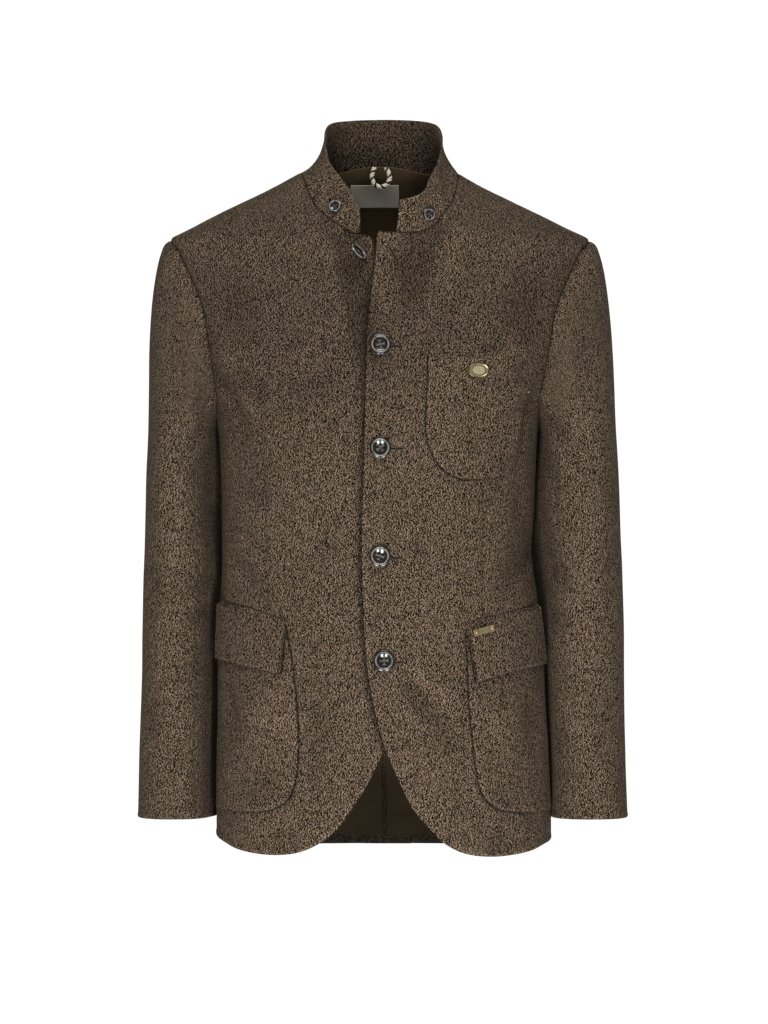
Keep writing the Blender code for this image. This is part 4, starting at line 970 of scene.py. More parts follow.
class Nodes:
    """Small helper to build a node tree."""

    def __init__(self, name):
        self.mat = bpy.data.materials.new(name)
        self.mat.use_nodes = True
        self.tree = self.mat.node_tree
        self.shader = self.tree.nodes["Principled BSDF"]

    def add(self, kind, inputs=(), **settings):
        node = self.tree.nodes.new("ShaderNode" + kind)
        for key, value in settings.items():
            setattr(node, key, value)
        for key, value in dict(inputs).items():
            if isinstance(value, bpy.types.NodeSocket):
                self.tree.links.new(value, node.inputs[key])
            else:
                node.inputs[key].default_value = value
        return node

    def math(self, operation, a, b=0.0, c=0.0):
        node = self.tree.nodes.new("ShaderNodeMath")
        node.operation = operation
        for key, value in enumerate((a, b, c)):
            if isinstance(value, bpy.types.NodeSocket):
                self.tree.links.new(value, node.inputs[key])
            else:
                node.inputs[key].default_value = value
        return node.outputs[0]

    def grain(self, across=1.0, along=1.0, through=1.0):
        """The cloth's own coordinates, in metres: along the weft, the warp and through it."""
        found = self.add("Attribute", attribute_name="grain").outputs["Vector"]
        return self.add("Mapping", {"Vector": found, "Scale": (across, along, through)}).outputs[0]

    def mark(self, name):
        return self.add("Attribute", attribute_name=name).outputs["Fac"]

    def place(self, scale, rotation=(0, 0, 0)):
        coord = self.add("TexCoord").outputs["Object"]
        return self.add("Mapping", {"Vector": coord, "Scale": scale, "Rotation": rotation}).outputs[0]

    def ramp(self, factor, stops):
        node = self.add("ValToRGB", {"Fac": factor})
        ramp = node.color_ramp
        while len(ramp.elements) < len(stops):
            ramp.elements.new(0.5)
        for element, (at, colour) in zip(ramp.elements, stops):
            element.position, element.color = at, colour
        return node.outputs["Color"]

    def mix(self, blend, factor, a, b):
        node = self.add("Mix", data_type="RGBA", blend_type=blend)
        for key, value in (("Factor", factor), ("A", a), ("B", b)):
            socket = next(s for s in node.inputs if s.name == key and (s.type == "RGBA" or key == "Factor" and s.type == "VALUE"))
            if isinstance(value, bpy.types.NodeSocket):
                self.tree.links.new(value, socket)
            else:
                socket.default_value = value
        return next(s for s in node.outputs if s.type == "RGBA")

    def link(self, value, key):
        self.tree.links.new(value, self.shader.inputs[key])

    def set(self, **values):
        for key, value in values.items():
            self.shader.inputs[key.replace("_", " ").title().replace("Ior", "IOR")].default_value = value


LODEN_LIGHT = (0.219, 0.177, 0.142, 1.0)
FLECK, RIB, FIBRE, STREAK, CLOUD = 1.35, 3.6, 1.8, 0.0, 0.10


def loden_material(name="loden"):
    """Fulled heather wool: pale and dark fibres mixed at about a millimetre, standing in fine broken ribs along the
    warp, with a short brushed nap. Shade is painted into its colour in its seams, hollows and crease troughs, light on
    the crease ridges, and a painted highlight with paler wear on rolled edges."""
    n = Nodes(name)
    fleck = n.add("TexVoronoi", {"Vector": n.grain(1.0, 0.7), "Scale": 1350.0, "Randomness": 1.0}, feature="F1")
    rib = n.add("TexGabor", {"Vector": n.grain(1.0, 2.2), "Scale": 500.0, "Frequency": 0.77, "Anisotropy": 1.0, "Orientation": 0.0}, gabor_type="2D")
    fibre = n.add("TexNoise", {"Vector": n.grain(1.0, 0.55), "Scale": 1700.0, "Detail": 1.0, "Roughness": 0.5})
    streak = n.add("TexNoise", {"Vector": n.grain(1.0, 0.2), "Scale": 620.0, "Detail": 1.0, "Roughness": 0.5})
    cloud = n.add("TexNoise", {"Vector": n.grain(1.0, 0.6), "Scale": 38.0, "Detail": 3.0, "Roughness": 0.6})
    pick = n.add("SeparateColor", {"Color": fleck.outputs["Color"]})
    value = n.math("MULTIPLY_ADD", pick.outputs[0], FLECK, 0.5 - FLECK / 2)
    value = n.math("ADD", value, n.math("MULTIPLY_ADD", rib.outputs["Value"], RIB, -RIB / 2))
    for node, size in ((fibre, FIBRE), (streak, STREAK), (cloud, CLOUD)):
        value = n.math("ADD", value, n.math("MULTIPLY_ADD", node.outputs["Fac"], size, -size / 2))
    colour = n.ramp(value, (
        (0.00, srgb(3, 1, 0)),
        (0.28, srgb(30, 19, 10)),
        (0.52, srgb(76, 61, 47)),
        (0.76, srgb(146, 132, 116)),
        (1.00, srgb(236, 228, 216)),
    ))
    hue = n.ramp(pick.outputs[1], ((0.0, (1.12, 0.94, 0.84, 1)), (0.5, (1.0, 1.0, 1.0, 1)), (1.0, (0.91, 1.03, 1.0, 1))))
    colour = n.mix("MULTIPLY", 1.0, colour, hue)
    colour = n.mix("MULTIPLY", 1.0, colour, LODEN_LIGHT)
    # painted shade from the line mark, paler wear with a painted highlight, and painted shading of the creases and
    # broad tones
    shade = n.math("MULTIPLY_ADD", n.mark("line"), -0.90, 1.0)
    shade = n.math("MULTIPLY", shade, n.math("MULTIPLY_ADD", n.mark("wear_and_highlight"), 0.22, 1.0))
    shade = n.math("MULTIPLY", shade, n.math("MULTIPLY_ADD", n.mark("painted_shading"), 0.20, 1.0))
    grey = n.add("CombineColor", {"Red": shade, "Green": shade, "Blue": shade})
    colour = n.mix("MULTIPLY", 1.0, colour, grey.outputs[0])
    n.link(colour, "Base Color")
    n.set(roughness=0.93, specular_ior_level=0.10, sheen_weight=0.05, sheen_roughness=0.5)
    n.shader.inputs["Sheen Tint"].default_value = srgb(176, 158, 136)
    nap = n.add("TexNoise", {"Vector": n.grain(1.0, 0.45), "Scale": 1900.0, "Detail": 2.0, "Roughness": 0.6})
    height = n.math("ADD", n.math("MULTIPLY", nap.outputs["Fac"], 0.7), n.math("MULTIPLY", value, 0.35))
    bump = n.add("Bump", {"Height": height, "Strength": 0.5, "Distance": 0.0004})
    n.link(bump.outputs[0], "Normal")
    return n.mat


def satin_material():
    n = Nodes("lining_satin")
    warp = n.add("TexWave", {"Vector": n.place((1.0, 0.25, 0.02)), "Scale": 900.0, "Distortion": 1.5, "Detail": 1.0}, wave_type="BANDS")
    cloud = n.add("TexNoise", {"Vector": n.place((1.0, 1.0, 0.35)), "Scale": 22.0, "Detail": 3.0})
    value = n.math("ADD", n.math("MULTIPLY", warp.outputs["Fac"], 0.25), n.math("MULTIPLY", cloud.outputs["Fac"], 0.75))
    colour = n.ramp(value, ((0.2, srgb(66, 55, 40)), (0.8, srgb(98, 83, 62))))
    # painted shade from the line mark: darker towards the hem, along the tuck and at the edges
    shade = n.math("MULTIPLY_ADD", n.mark("line"), -1.0, 1.0)
    grey = n.add("CombineColor", {"Red": shade, "Green": shade, "Blue": shade})
    colour = n.mix("MULTIPLY", 1.0, colour, grey.outputs[0])
    n.link(colour, "Base Color")
    n.set(roughness=0.55, specular_ior_level=0.01, sheen_weight=0.0)
    bump = n.add("Bump", {"Height": warp.outputs["Fac"], "Strength": 0.12, "Distance": 0.0002})
    n.link(bump.outputs[0], "Normal")
    return n.mat


def horn_material():
    n = Nodes("dark_horn")
    warp = n.add("TexNoise", {"Vector": n.place((1.0, 1.0, 1.0)), "Scale": 90.0, "Detail": 3.0, "Roughness": 0.6, "Distortion": 1.6})
    fine = n.add("TexNoise", {"Vector": n.place((1.0, 1.0, 3.0)), "Scale": 420.0, "Detail": 2.0})
    value = n.math("ADD", n.math("MULTIPLY", warp.outputs["Fac"], 0.85), n.math("MULTIPLY", fine.outputs["Fac"], 0.15))
    colour = n.ramp(value, (
        (0.36, srgb(4, 3, 3)),
        (0.50, srgb(9, 7, 6)),
        (0.60, srgb(20, 16, 13)),
        (0.68, srgb(34, 28, 23)),
        (0.80, srgb(12, 10, 8)),
    ))
    # paler horn where the pale mark is set: a painted highlight on the rim's crest and a paler middle
    pale = n.ramp(value, ((0.40, srgb(92, 88, 82)), (0.54, srgb(146, 141, 132)), (0.70, srgb(112, 106, 97))))
    colour = n.mix("MIX", n.mark("pale"), colour, pale)
    n.link(colour, "Base Color")
    n.set(roughness=0.13, specular_ior_level=0.42, coat_weight=0.35, coat_roughness=0.05)
    return n.mat


def cord_material(name, dark):
    n = Nodes(name)
    noise = n.add("TexNoise", {"Vector": n.place((1.0, 1.0, 1.0)), "Scale": 1300.0, "Detail": 2.0})
    stops = ((0.3, srgb(14, 12, 10)), (0.7, srgb(44, 38, 32))) if dark else ((0.3, srgb(196, 184, 158)), (0.7, srgb(238, 229, 208)))
    n.link(n.ramp(noise.outputs["Fac"], stops), "Base Color")
    n.set(roughness=0.75, sheen_weight=0.2)
    bump = n.add("Bump", {"Height": noise.outputs["Fac"], "Strength": 0.4, "Distance": 0.0003})
    n.link(bump.outputs[0], "Normal")
    return n.mat


def thread_material(name, low, high):
    n = Nodes(name)
    noise = n.add("TexNoise", {"Vector": n.place((1.0, 1.0, 1.0)), "Scale": 2200.0, "Detail": 1.0})
    n.link(n.ramp(noise.outputs["Fac"], ((0.3, low), (0.7, high))), "Base Color")
    n.set(roughness=0.8, specular_ior_level=0.12)
    bump = n.add("Bump", {"Height": noise.outputs["Fac"], "Strength": 0.3, "Distance": 0.0002})
    n.link(bump.outputs[0], "Normal")
    return n.mat


def label_material():
    """Plain woven grey label: fine ribs both ways and nothing written on it; its woven border is not drawn."""
    n = Nodes("woven_label")
    ribs = n.add("TexWave", {"Vector": n.place((0.02, 0.02, 1.0)), "Scale": 1150.0, "Distortion": 0.4}, wave_type="BANDS", bands_direction="Z")
    cols = n.add("TexWave", {"Vector": n.place((1.0, 0.1, 0.02)), "Scale": 800.0, "Distortion": 0.4}, wave_type="BANDS", bands_direction="X")
    noise = n.add("TexNoise", {"Vector": n.place((1.0, 1.0, 1.0)), "Scale": 700.0, "Detail": 2.0})
    value = n.math("ADD", n.math("MULTIPLY", ribs.outputs["Fac"], 0.4), n.math("MULTIPLY", cols.outputs["Fac"], 0.25))
    value = n.math("ADD", value, n.math("MULTIPLY", noise.outputs["Fac"], 0.5))
    n.link(n.ramp(value, ((0.2, srgb(176, 169, 152)), (0.9, srgb(228, 220, 203)))), "Base Color")
    n.set(roughness=0.72, sheen_weight=0.15)
    bump = n.add("Bump", {"Height": value, "Strength": 0.4, "Distance": 0.0002})
    n.link(bump.outputs[0], "Normal")
    return n.mat


def metal_material(name, low, high, roughness, metallic=1.0, scale=260.0):
    n = Nodes(name)
    noise = n.add("TexNoise", {"Vector": n.place((1.0, 1.0, 0.3)), "Scale": scale, "Detail": 4.0})
    n.link(n.ramp(noise.outputs["Fac"], ((0.3, low), (0.7, high))), "Base Color")
    n.set(roughness=roughness, metallic=metallic)
    bump = n.add("Bump", {"Height": noise.outputs["Fac"], "Strength": 0.08, "Distance": 0.0002})
    n.link(bump.outputs[0], "Normal")
    return n.mat


LODEN = loden_material("loden")
SATIN = satin_material()
HORN = horn_material()
CREAM_CORD, BLACK_CORD = cord_material("cord_cream", False), cord_material("cord_black", True)
BROWN_THREAD = thread_material("thread_brown", srgb(26, 19, 13), srgb(58, 46, 36))
PALE_THREAD = thread_material("thread_pale", srgb(150, 138, 120), srgb(196, 184, 162))
RED_THREAD = thread_material("thread_red", srgb(120, 34, 22), srgb(170, 58, 38))
LABEL_CLOTH = label_material()
BRASS = metal_material("brass_satin", srgb(150, 138, 102), srgb(190, 178, 140), 0.36)
GILT = metal_material("gilt", srgb(96, 82, 52), srgb(150, 132, 92), 0.30)
CREAM_ENAMEL = metal_material("cream_enamel", srgb(112, 104, 80), srgb(142, 134, 108), 0.30, 0.0, 120.0)


def dress(obj, slot_name, *nodes, flat_size=None, area=None, held="hung", rests_on=()):
    """What every piece needs: its body, and the solids it stands for hidden. Its slot and a cloth's cut are given but
    not used.
    """
    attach(obj, "root")
    if nodes:
        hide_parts(*nodes)
    return obj


# ------------------------------------------------------------------ the body panels
STEP = 5.0
PANEL_CUT = {  # flat width and length of each cut piece as it shows, and its area, metres
    "front_left": (0.315, 0.760, None),
    "front_right": (0.315, 0.760, None),
    "back_left": (0.260, 0.770, None),
    "back_right": (0.290, 0.770, None),
}


def cut_of(obj, width, length):
    """The cut's area: half the closed shell's surface, held within its width by its length."""
    return min(area_of(obj) / 2, width * length)


BUTTONHOLES = (((8.6, -189.4), (19.4, -189.4)), ((8.8, -298.8), (19.4, -298.8)), ((8.5, -415.2), (19.2, -415.2)), ((12.2, -526.2), (21.8, -526.2)), ((7.1, -83.2), (16.6, -99.6)))


def pocket_lines():
    """The outlines of what lies on the fronts, flat: a fine line of painted shadow is laid into the front under them.
    """
    out = {1: [], -1: []}
    for side, edge, top in ((1, POCKET_LEFT, FLAP_LEFT_TOP), (-1, POCKET_RIGHT, FLAP_RIGHT_TOP)):
        out[side].append((front_curve(edge), False, 1.05, 0.85))
        out[side].append((front_curve(top), False, 0.8, 0.8))
    out[1].append((flat_line(curve_through((*BREAST[10:], BREAST[0]), 6)), False, 1.0, 0.9))
    out[1].append((flat_line(curve_through(BREAST[:4], 6)), False, 0.6, 0.5))
    # painted shade under each buttonhole
    for ends in BUTTONHOLES:
        out[1].append((front_curve(ends), False, 0.75, 1.0))
    # painted shade along each dart
    for name, side in (("dart_right", -1), ("dart_left", 1)):
        path = next(row[7] for row in CREASES if row[0] == name)
        out[side].append((front_curve(path), False, 0.9, 0.35))
    return out


def panels():
    lines = pocket_lines()
    for side, name, edge, layer in ((1, "front_left", EDGE_LEFT, 0.0), (-1, "front_right", EDGE_RIGHT, under_lap)):
        net = Net(front_sides(side, edge), STEP, gap=-0.04, lines=lines[side])
        points, faces, marks = net.raise_(layer, CLOTH, body_move(net.base), (30.0 * side, 0.0))
        # painted shadow on the right front beside and under the left front's edge
        if side < 0:
            x = net.base[:, 0]
            under = 0.8 * smooth((x - EDGE_LEFT_T(net.uv[:, 1])[:, 0] + 7.5) / 5.5)
            marks["line"] = np.maximum(marks["line"], np.tile(under, 2))
        # painted shade and light: both fronts darker round the chest at z -172, the left front darker at the top of its
        # lap under the collar, the right front's outer side lighter between about z -280 and -590
        x, z = net.base[:, 0], net.base[:, 2]
        painted_light_shade = -1.0 * bell((z + 172) / 90)
        if side > 0:
            painted_light_shade = painted_light_shade - 1.3 * bell(np.hypot(x - 2, z + 98) / 17)
        else:
            painted_light_shade = painted_light_shade + 0.7 * smooth((-135 - x) / 25) * smooth((-280 - z) / 40) * smooth((z + 590) / 60)
        marks["painted_shading"] = marks["painted_shading"] + np.tile(painted_light_shade, 2)
        obj = mesh_object("loden_" + name, points, faces, LODEN, marks=marks)
        w, l, _ = PANEL_CUT[name]
        dress(obj, "loden", name, flat_size=(w, l), area=cut_of(obj, w, l))
    for side, name, lap, layer in ((1, "back_left", 0.0, 0.0), (-1, "back_right", VENT_LAP, vent_sink)):
        net = Net(back_sides(side, lap), STEP, gap=-0.04)
        points, faces, marks = net.raise_(layer, CLOTH, body_move(net.base), (70.0 * side, 500.0))
        half = len(net.base)
        # painted shade: the inner face of the back panels is near black towards the hem
        marks["line"][half:] = np.maximum(marks["line"][half:], 0.95 * smooth((-600 - net.base[:, 2]) / 60))
        obj = mesh_object("loden_" + name, points, faces, LODEN, marks=marks)
        w, l, _ = PANEL_CUT[name]
        dress(obj, "loden", name, flat_size=(w, l), area=cut_of(obj, w, l))
    net = Net(lining_sides(), 6.5, gap=0.0, edge_step=5.0)
    points, faces, marks = net.raise_(lining_layer, LINING, 0.6 * body_move(net.base))
    # painted shade: the lining is darker towards the hem, and a dark line of painted shade lies along the tuck pressed
    # across it
    low = smooth((-540 - net.base[:, 2]) / 130) * 0.84
    tuck = 0.9 * bell((net.base[:, 2] + 702) / 0.9) * (net.base[:, 0] > 3)
    marks["line"] = np.maximum(np.tile(np.maximum(low, tuck), 2), marks["line"])
    obj = mesh_object("satin_lining_back", points, faces, SATIN, marks=marks)
    dress(obj, "satin", "lining_back", flat_size=(0.540, 0.770), area=cut_of(obj, 0.540, 0.770))


# ------------------------------------------------------------------ sleeves
def sleeve_ring(side, z, turn):
    row = SLEEVE_T(z)
    near_body, far = (row[..., 0], row[..., 1]) if side > 0 else (row[..., 2], row[..., 3])
    front, back = row[..., 4], row[..., 5]
    a = 2 * math.pi * np.asarray(turn, float)
    c, s, n = np.cos(a), np.sin(a), SLEEVE_SQUARE
    r = (np.abs(c) ** n + np.abs(s) ** n) ** (-1 / n)
    press = (row[..., 6] if side > 0 else row[..., 7]) * np.cos(np.clip((np.mod(turn, 1.0) - PRESS_TURN[0]) / PRESS_TURN[1], -1, 1) * math.pi / 2) ** 2
    x = (near_body + far) / 2 + (far - near_body) / 2 * r * c - press
    y = (front + back) / 2 - (back - front) / 2 * r * s
    x, y, z = np.broadcast_arrays(side * x, y, np.asarray(z, float))
    return np.stack([x, y, z], -1)


def settled(uv, dip):
    """A seam line in space: on the body surface, moved by the creases, and a little under the outer face."""
    base, normal = on_body(uv)
    return base + normal * (body_move(base) - dip)[:, None]


ARMHOLE_LINES = {side: [settled(scye(side, behind), SCYE_DIP + 0.1) for behind in (False, True)] for side in (1, -1)}


def sleeve(side, turn, share):
    """A point of the sleeve. share is 0 at the armhole, 1 at the tube's top and 2 at the cuff."""
    turn, share = np.broadcast_arrays(np.asarray(turn, float), np.asarray(share, float))
    top = SLEEVE[0][0]
    tube = sleeve_ring(side, lerp(top, CUFF, np.clip(share - 1, 0, 1)), turn)
    t_ = np.mod(turn, 1.0)
    lines = ARMHOLE_LINES[side]
    start = np.where((t_ <= 0.5)[..., None], at_share(lines[0], np.clip(t_ * 2, 0, 1)), at_share(lines[1], np.clip((1 - t_) * 2, 0, 1)))
    row = HEAD_T(t_)
    end = sleeve_ring(side, np.full(t_.shape, float(top)), turn)
    leave = np.stack([side * row[..., 0], -row[..., 1], row[..., 2]], -1)
    arrive = unit(sleeve_ring(side, np.full(t_.shape, top - 8.0), turn) - end) * row[..., 3:4]
    t = np.clip(share, 0, 1)[..., None]
    head = start * (1 + 2 * t) * (1 - t) ** 2 + leave * t * (1 - t) ** 2 + end * t * t * (3 - 2 * t) + arrive * t * t * (t - 1)
    return np.where((share >= 1)[..., None], tube, head)


def sleeve_normal(side, turn, share):
    turn, share = np.broadcast_arrays(np.asarray(turn, float), np.asarray(share, float))
    down = sleeve(side, turn, np.minimum(2.0, share + 0.004)) - sleeve(side, turn, np.maximum(0.0, share - 0.004))
    round_ = sleeve(side, turn + 0.004, share) - sleeve(side, turn - 0.004, share)
    return unit(np.cross(round_, down)) * side


def sleeve_share(side, turn, z):
    """The share at which the sleeve has this height."""
    top = SLEEVE[0][0]
    low, high = np.zeros(len(z)), np.full(len(z), 2.0)
    for _ in range(30):
        mid = (low + high) / 2
        above = sleeve(side, turn, mid)[:, 2] > z
        low, high = np.where(above, mid, low), np.where(above, high, mid)
    return (low + high) / 2


def grid_faces(rows, columns):
    j, i = np.meshgrid(np.arange(rows - 1), np.arange(columns - 1), indexing="ij")
    a = (j * columns + i).ravel()
    b, c, d = a + 1, a + columns, a + columns + 1
    return np.concatenate([np.stack([a, b, d], -1), np.stack([a, d, c], -1)])


def crowded(low, high, count, ends=(0.35, 0.9, 1.7, 2.9, 4.6), length=200.0):
    """Even steps from low to high, with a few close ones at both ends, given in millimetres of the length."""
    close = np.array([e / length * (high - low) for e in ends])
    inner = np.linspace(low + close[-1] * 1.5, high - close[-1] * 1.5, count)
    return np.concatenate([[low], low + close, inner, high - close[::-1], [high]])


def sleeve_pieces():
    for side, arm in ((1, "left"), (-1, "right")):
        lines = sleeve_crease_lines(side)
        for part, first, last, wide in (("top", SEAM_BACK - 1, SEAM_FRONT, 190.0), ("under", SEAM_FRONT, SEAM_BACK, 95.0)):
            gap = -0.0001
            turns = crowded(first + gap, last - gap, round(wide / 5), length=wide)
            shares = np.concatenate([crowded(0.0, 1.0, 34, length=150.0)[:-6], np.linspace(1.0, 2.0, 82)[:-1][1:], 2 - np.array([4.6, 2.9, 1.7, 0.9, 0.35, 0]) / 405])
            shares = np.unique(np.round(shares, 6))
            T, S = np.meshgrid(turns, shares)
            P, N = sleeve(side, T, S), sleeve_normal(side, T, S)
            shape = T.shape
            P, N = P.reshape(-1, 3), N.reshape(-1, 3)
            move = creased(P, lines, 1.4) + ripple(P * np.array([1, 1, 0.9]) + 40)
            # distance to each edge of the piece, over the cloth
            grid = P.reshape(*shape, 3)
            step = np.linalg.norm(np.diff(grid, axis=1), axis=2)
            left = np.concatenate([np.zeros((shape[0], 1)), np.cumsum(step, 1)], 1)
            right = left[:, -1:] - left
            step = np.linalg.norm(np.diff(grid, axis=0), axis=2)
            top = np.concatenate([np.zeros((1, shape[1])), np.cumsum(step, 0)], 0)
            low = top[-1:] - top
            seam, scye_, hem = np.minimum(left, right).ravel(), top.ravel(), low.ravel()
            out, into = np.zeros(len(P)), np.zeros(len(P))
            line, wear_and_highlight = np.zeros(len(P)), np.zeros(len(P))
            for far, kind in ((seam, "seam"), (hem, "edge")):
                o, i = edge_form(far, np.full(len(P), kind), CLOTH)
                l, w = edge_marks(far, np.full(len(P), kind))
                if kind == "seam":
                    o, l = o * 0.45, l * 0.22
                out, into, line, wear_and_highlight = out + o, into + i, np.maximum(line, l), np.maximum(wear_and_highlight, w)
            into -= 1.2 * bell(scye_ / 2.5)
            # painted shade along the armhole seam
            line = np.maximum(line, 1.0 * bell(scye_ / 1.15))
            # painted shade: the inner rear of each sleeve, below about z -330, darkened to stand for the shade of the
            # gap beside the body
            rear = np.mod(T.ravel(), 1.0)
            line = np.maximum(line, 0.80 * smooth((rear - 0.465) / 0.04) * smooth((0.66 - rear) / 0.05) * smooth((-330 - P[:, 2]) / 60))
            # the head rolls over the armhole seam and is eased in with small puckers
            t_mod = np.mod(T.ravel() + 0.5, 1.0) - 0.5
            crown = smooth((0.30 - np.abs(t_mod)) / 0.18)
            roll = 1.5 * bell((scye_ - 9) / 6.5) * (0.35 + 0.15 * crown) * smooth(scye_ / 4)
            pucker = 0.28 * np.sin(T.ravel() * 2 * math.pi * 23 + 1.7 * np.sin(T.ravel() * 31)) * bell((scye_ - 10) / 11.0) * crown
            move = move * smooth(scye_ / 16)
            height = move + roll + pucker * smooth(scye_ / 5)
            outer = P + N * (height + out)[:, None]
            inner = P + N * (height - CLOTH + into)[:, None]
            points, faces = shell(outer, inner, grid_faces(*shape))
            middle_column = left[:, shape[1] // 2][:, None]
            grain = np.column_stack([(left - middle_column).ravel(), low.ravel(), np.zeros(len(P))])
            grain += np.array([613.0 * side + (211.0 if part == "under" else 0.0), 90.0 * side, 0.0])
            marks = {
                "grain": np.vstack([grain, grain + np.array([0.0, 0.0, -CLOTH])]) * 0.001,
                "line": np.tile(line, 2),
                "wear_and_highlight": np.tile(wear_and_highlight, 2),
                # painted shading of the creases, and painted shade darkening the sleeve towards the cuff
                "painted_shading": np.tile(np.clip(height / 2.5, -1.5, 1.5) - 0.65 * smooth((-610 - P[:, 2]) / 110), 2),
            }
            name = f"sleeve_{part}_{arm}"
            obj = mesh_object("loden_" + name, points, faces, LODEN, marks=marks)
            w, l = (0.265, 0.660) if part == "top" else (0.130, 0.500)
            dress(obj, "loden", name, flat_size=(w, l), area=cut_of(obj, w, l))


# ------------------------------------------------------------------ collar
def collar_rows(share):
    first, last = neck_angle(COLLAR_ENDS[0]), neck_angle(COLLAR_ENDS[1])
    seam = settled(neck_point(np.linspace(first, last - 2 * math.pi, 361)), NECK_DIP)
    return at_share(seam, share * 0.9999), Table(COLLAR_TOP)(share)


def collar_surface(share, up):
    """A point of the band's outer face and its normal. up runs from the seam to the top edge."""
    seam, top = collar_rows(share)
    e = 0.006
    a, b = collar_rows(np.clip(share + e, 0, 1)), collar_rows(np.clip(share - e, 0, 1))
    run = (a[0] - b[0]) * (1 - up[:, None]) + (a[1] - b[1]) * up[:, None]
    normal = unit(np.cross(top - seam, run))
    base = seam + unit(top - seam) * COLLAR_RISE
    hollow = COLLAR_HOLLOW[0] + COLLAR_HOLLOW[1] * smooth((np.abs(top[:, 0] + 1) - 40) / 20) * smooth((top[:, 2] - 5) / 25)
    out = 0.4 * smooth(up / 0.1) + COLLAR_OUT * up - hollow * np.sin(math.pi * up)
    return base + (top - base) * up[:, None] + normal * out[:, None], normal


def collar_piece():
    shares = crowded(0.0, 1.0, 118, length=395.0)
    ups = crowded(0.0, 1.0, 9, length=46.0)
    S, U = np.meshgrid(shares, ups)
    P, N = collar_surface(S.ravel(), U.ravel())
    shape = S.shape
    grid = P.reshape(*shape, 3)
    step = np.linalg.norm(np.diff(grid, axis=1), axis=2)
    left = np.concatenate([np.zeros((shape[0], 1)), np.cumsum(step, 1)], 1)
    right = left[:, -1:] - left
    step = np.linalg.norm(np.diff(grid, axis=0), axis=2)
    up = np.concatenate([np.zeros((1, shape[1])), np.cumsum(step, 0)], 0)
    down = up[-1:] - up
    ends, seam, top = np.minimum(left, right).ravel(), up.ravel(), down.ravel()
    far = np.minimum(ends, top)
    out, into = edge_form(far, np.full(len(P), "edge"), COLLAR_WALL)
    line, wear_and_highlight = edge_marks(far, np.full(len(P), "edge"))
    # painted shade along the neck seam
    line = np.maximum(line, 1.0 * bell(seam / 1.1))
    height = 0.6 * ripple(P * 1.7 + 11) * smooth(seam / 10)
    outer = P + N * (height + out * 0.8)[:, None]
    inner = P + N * (height - COLLAR_WALL + into)[:, None]
    points, faces = shell(outer, inner, grid_faces(*shape))
    grain = np.column_stack([S.ravel() * 425.0, up.ravel(), np.zeros(len(P))]) + np.array([-400.0, 900.0, 0.0])
    marks = {
        "grain": np.vstack([grain, grain + np.array([0.0, 0.0, -CLOTH])]) * 0.001,
        # painted shade: the collar's inner face about a third darker
        "line": np.concatenate([line, np.maximum(line, 0.36)]),
        "wear_and_highlight": np.tile(wear_and_highlight, 2),
        "painted_shading": np.tile(np.clip(height / 2.5, -1.5, 1.5), 2),
    }
    obj = mesh_object("loden_collar", points, faces, LODEN, marks=marks)
    dress(obj, "loden", "collar", flat_size=(0.410, 0.062), area=cut_of(obj, 0.410, 0.062))


# ------------------------------------------------------------------ pockets, flaps
def pressed_down(net, line, stand, flush, reach, thick):
    """A piece sewn down flat along one line: how high it stands and how thick it is, rising from that line."""
    d = line_distance(net.base, on_body(unlay(spaced(lay(line), 2.6)))[0], False)
    return flush + (stand - flush) * smooth(d / reach), thick * (0.1 + 0.9 * smooth(d / (reach * 0.8)))


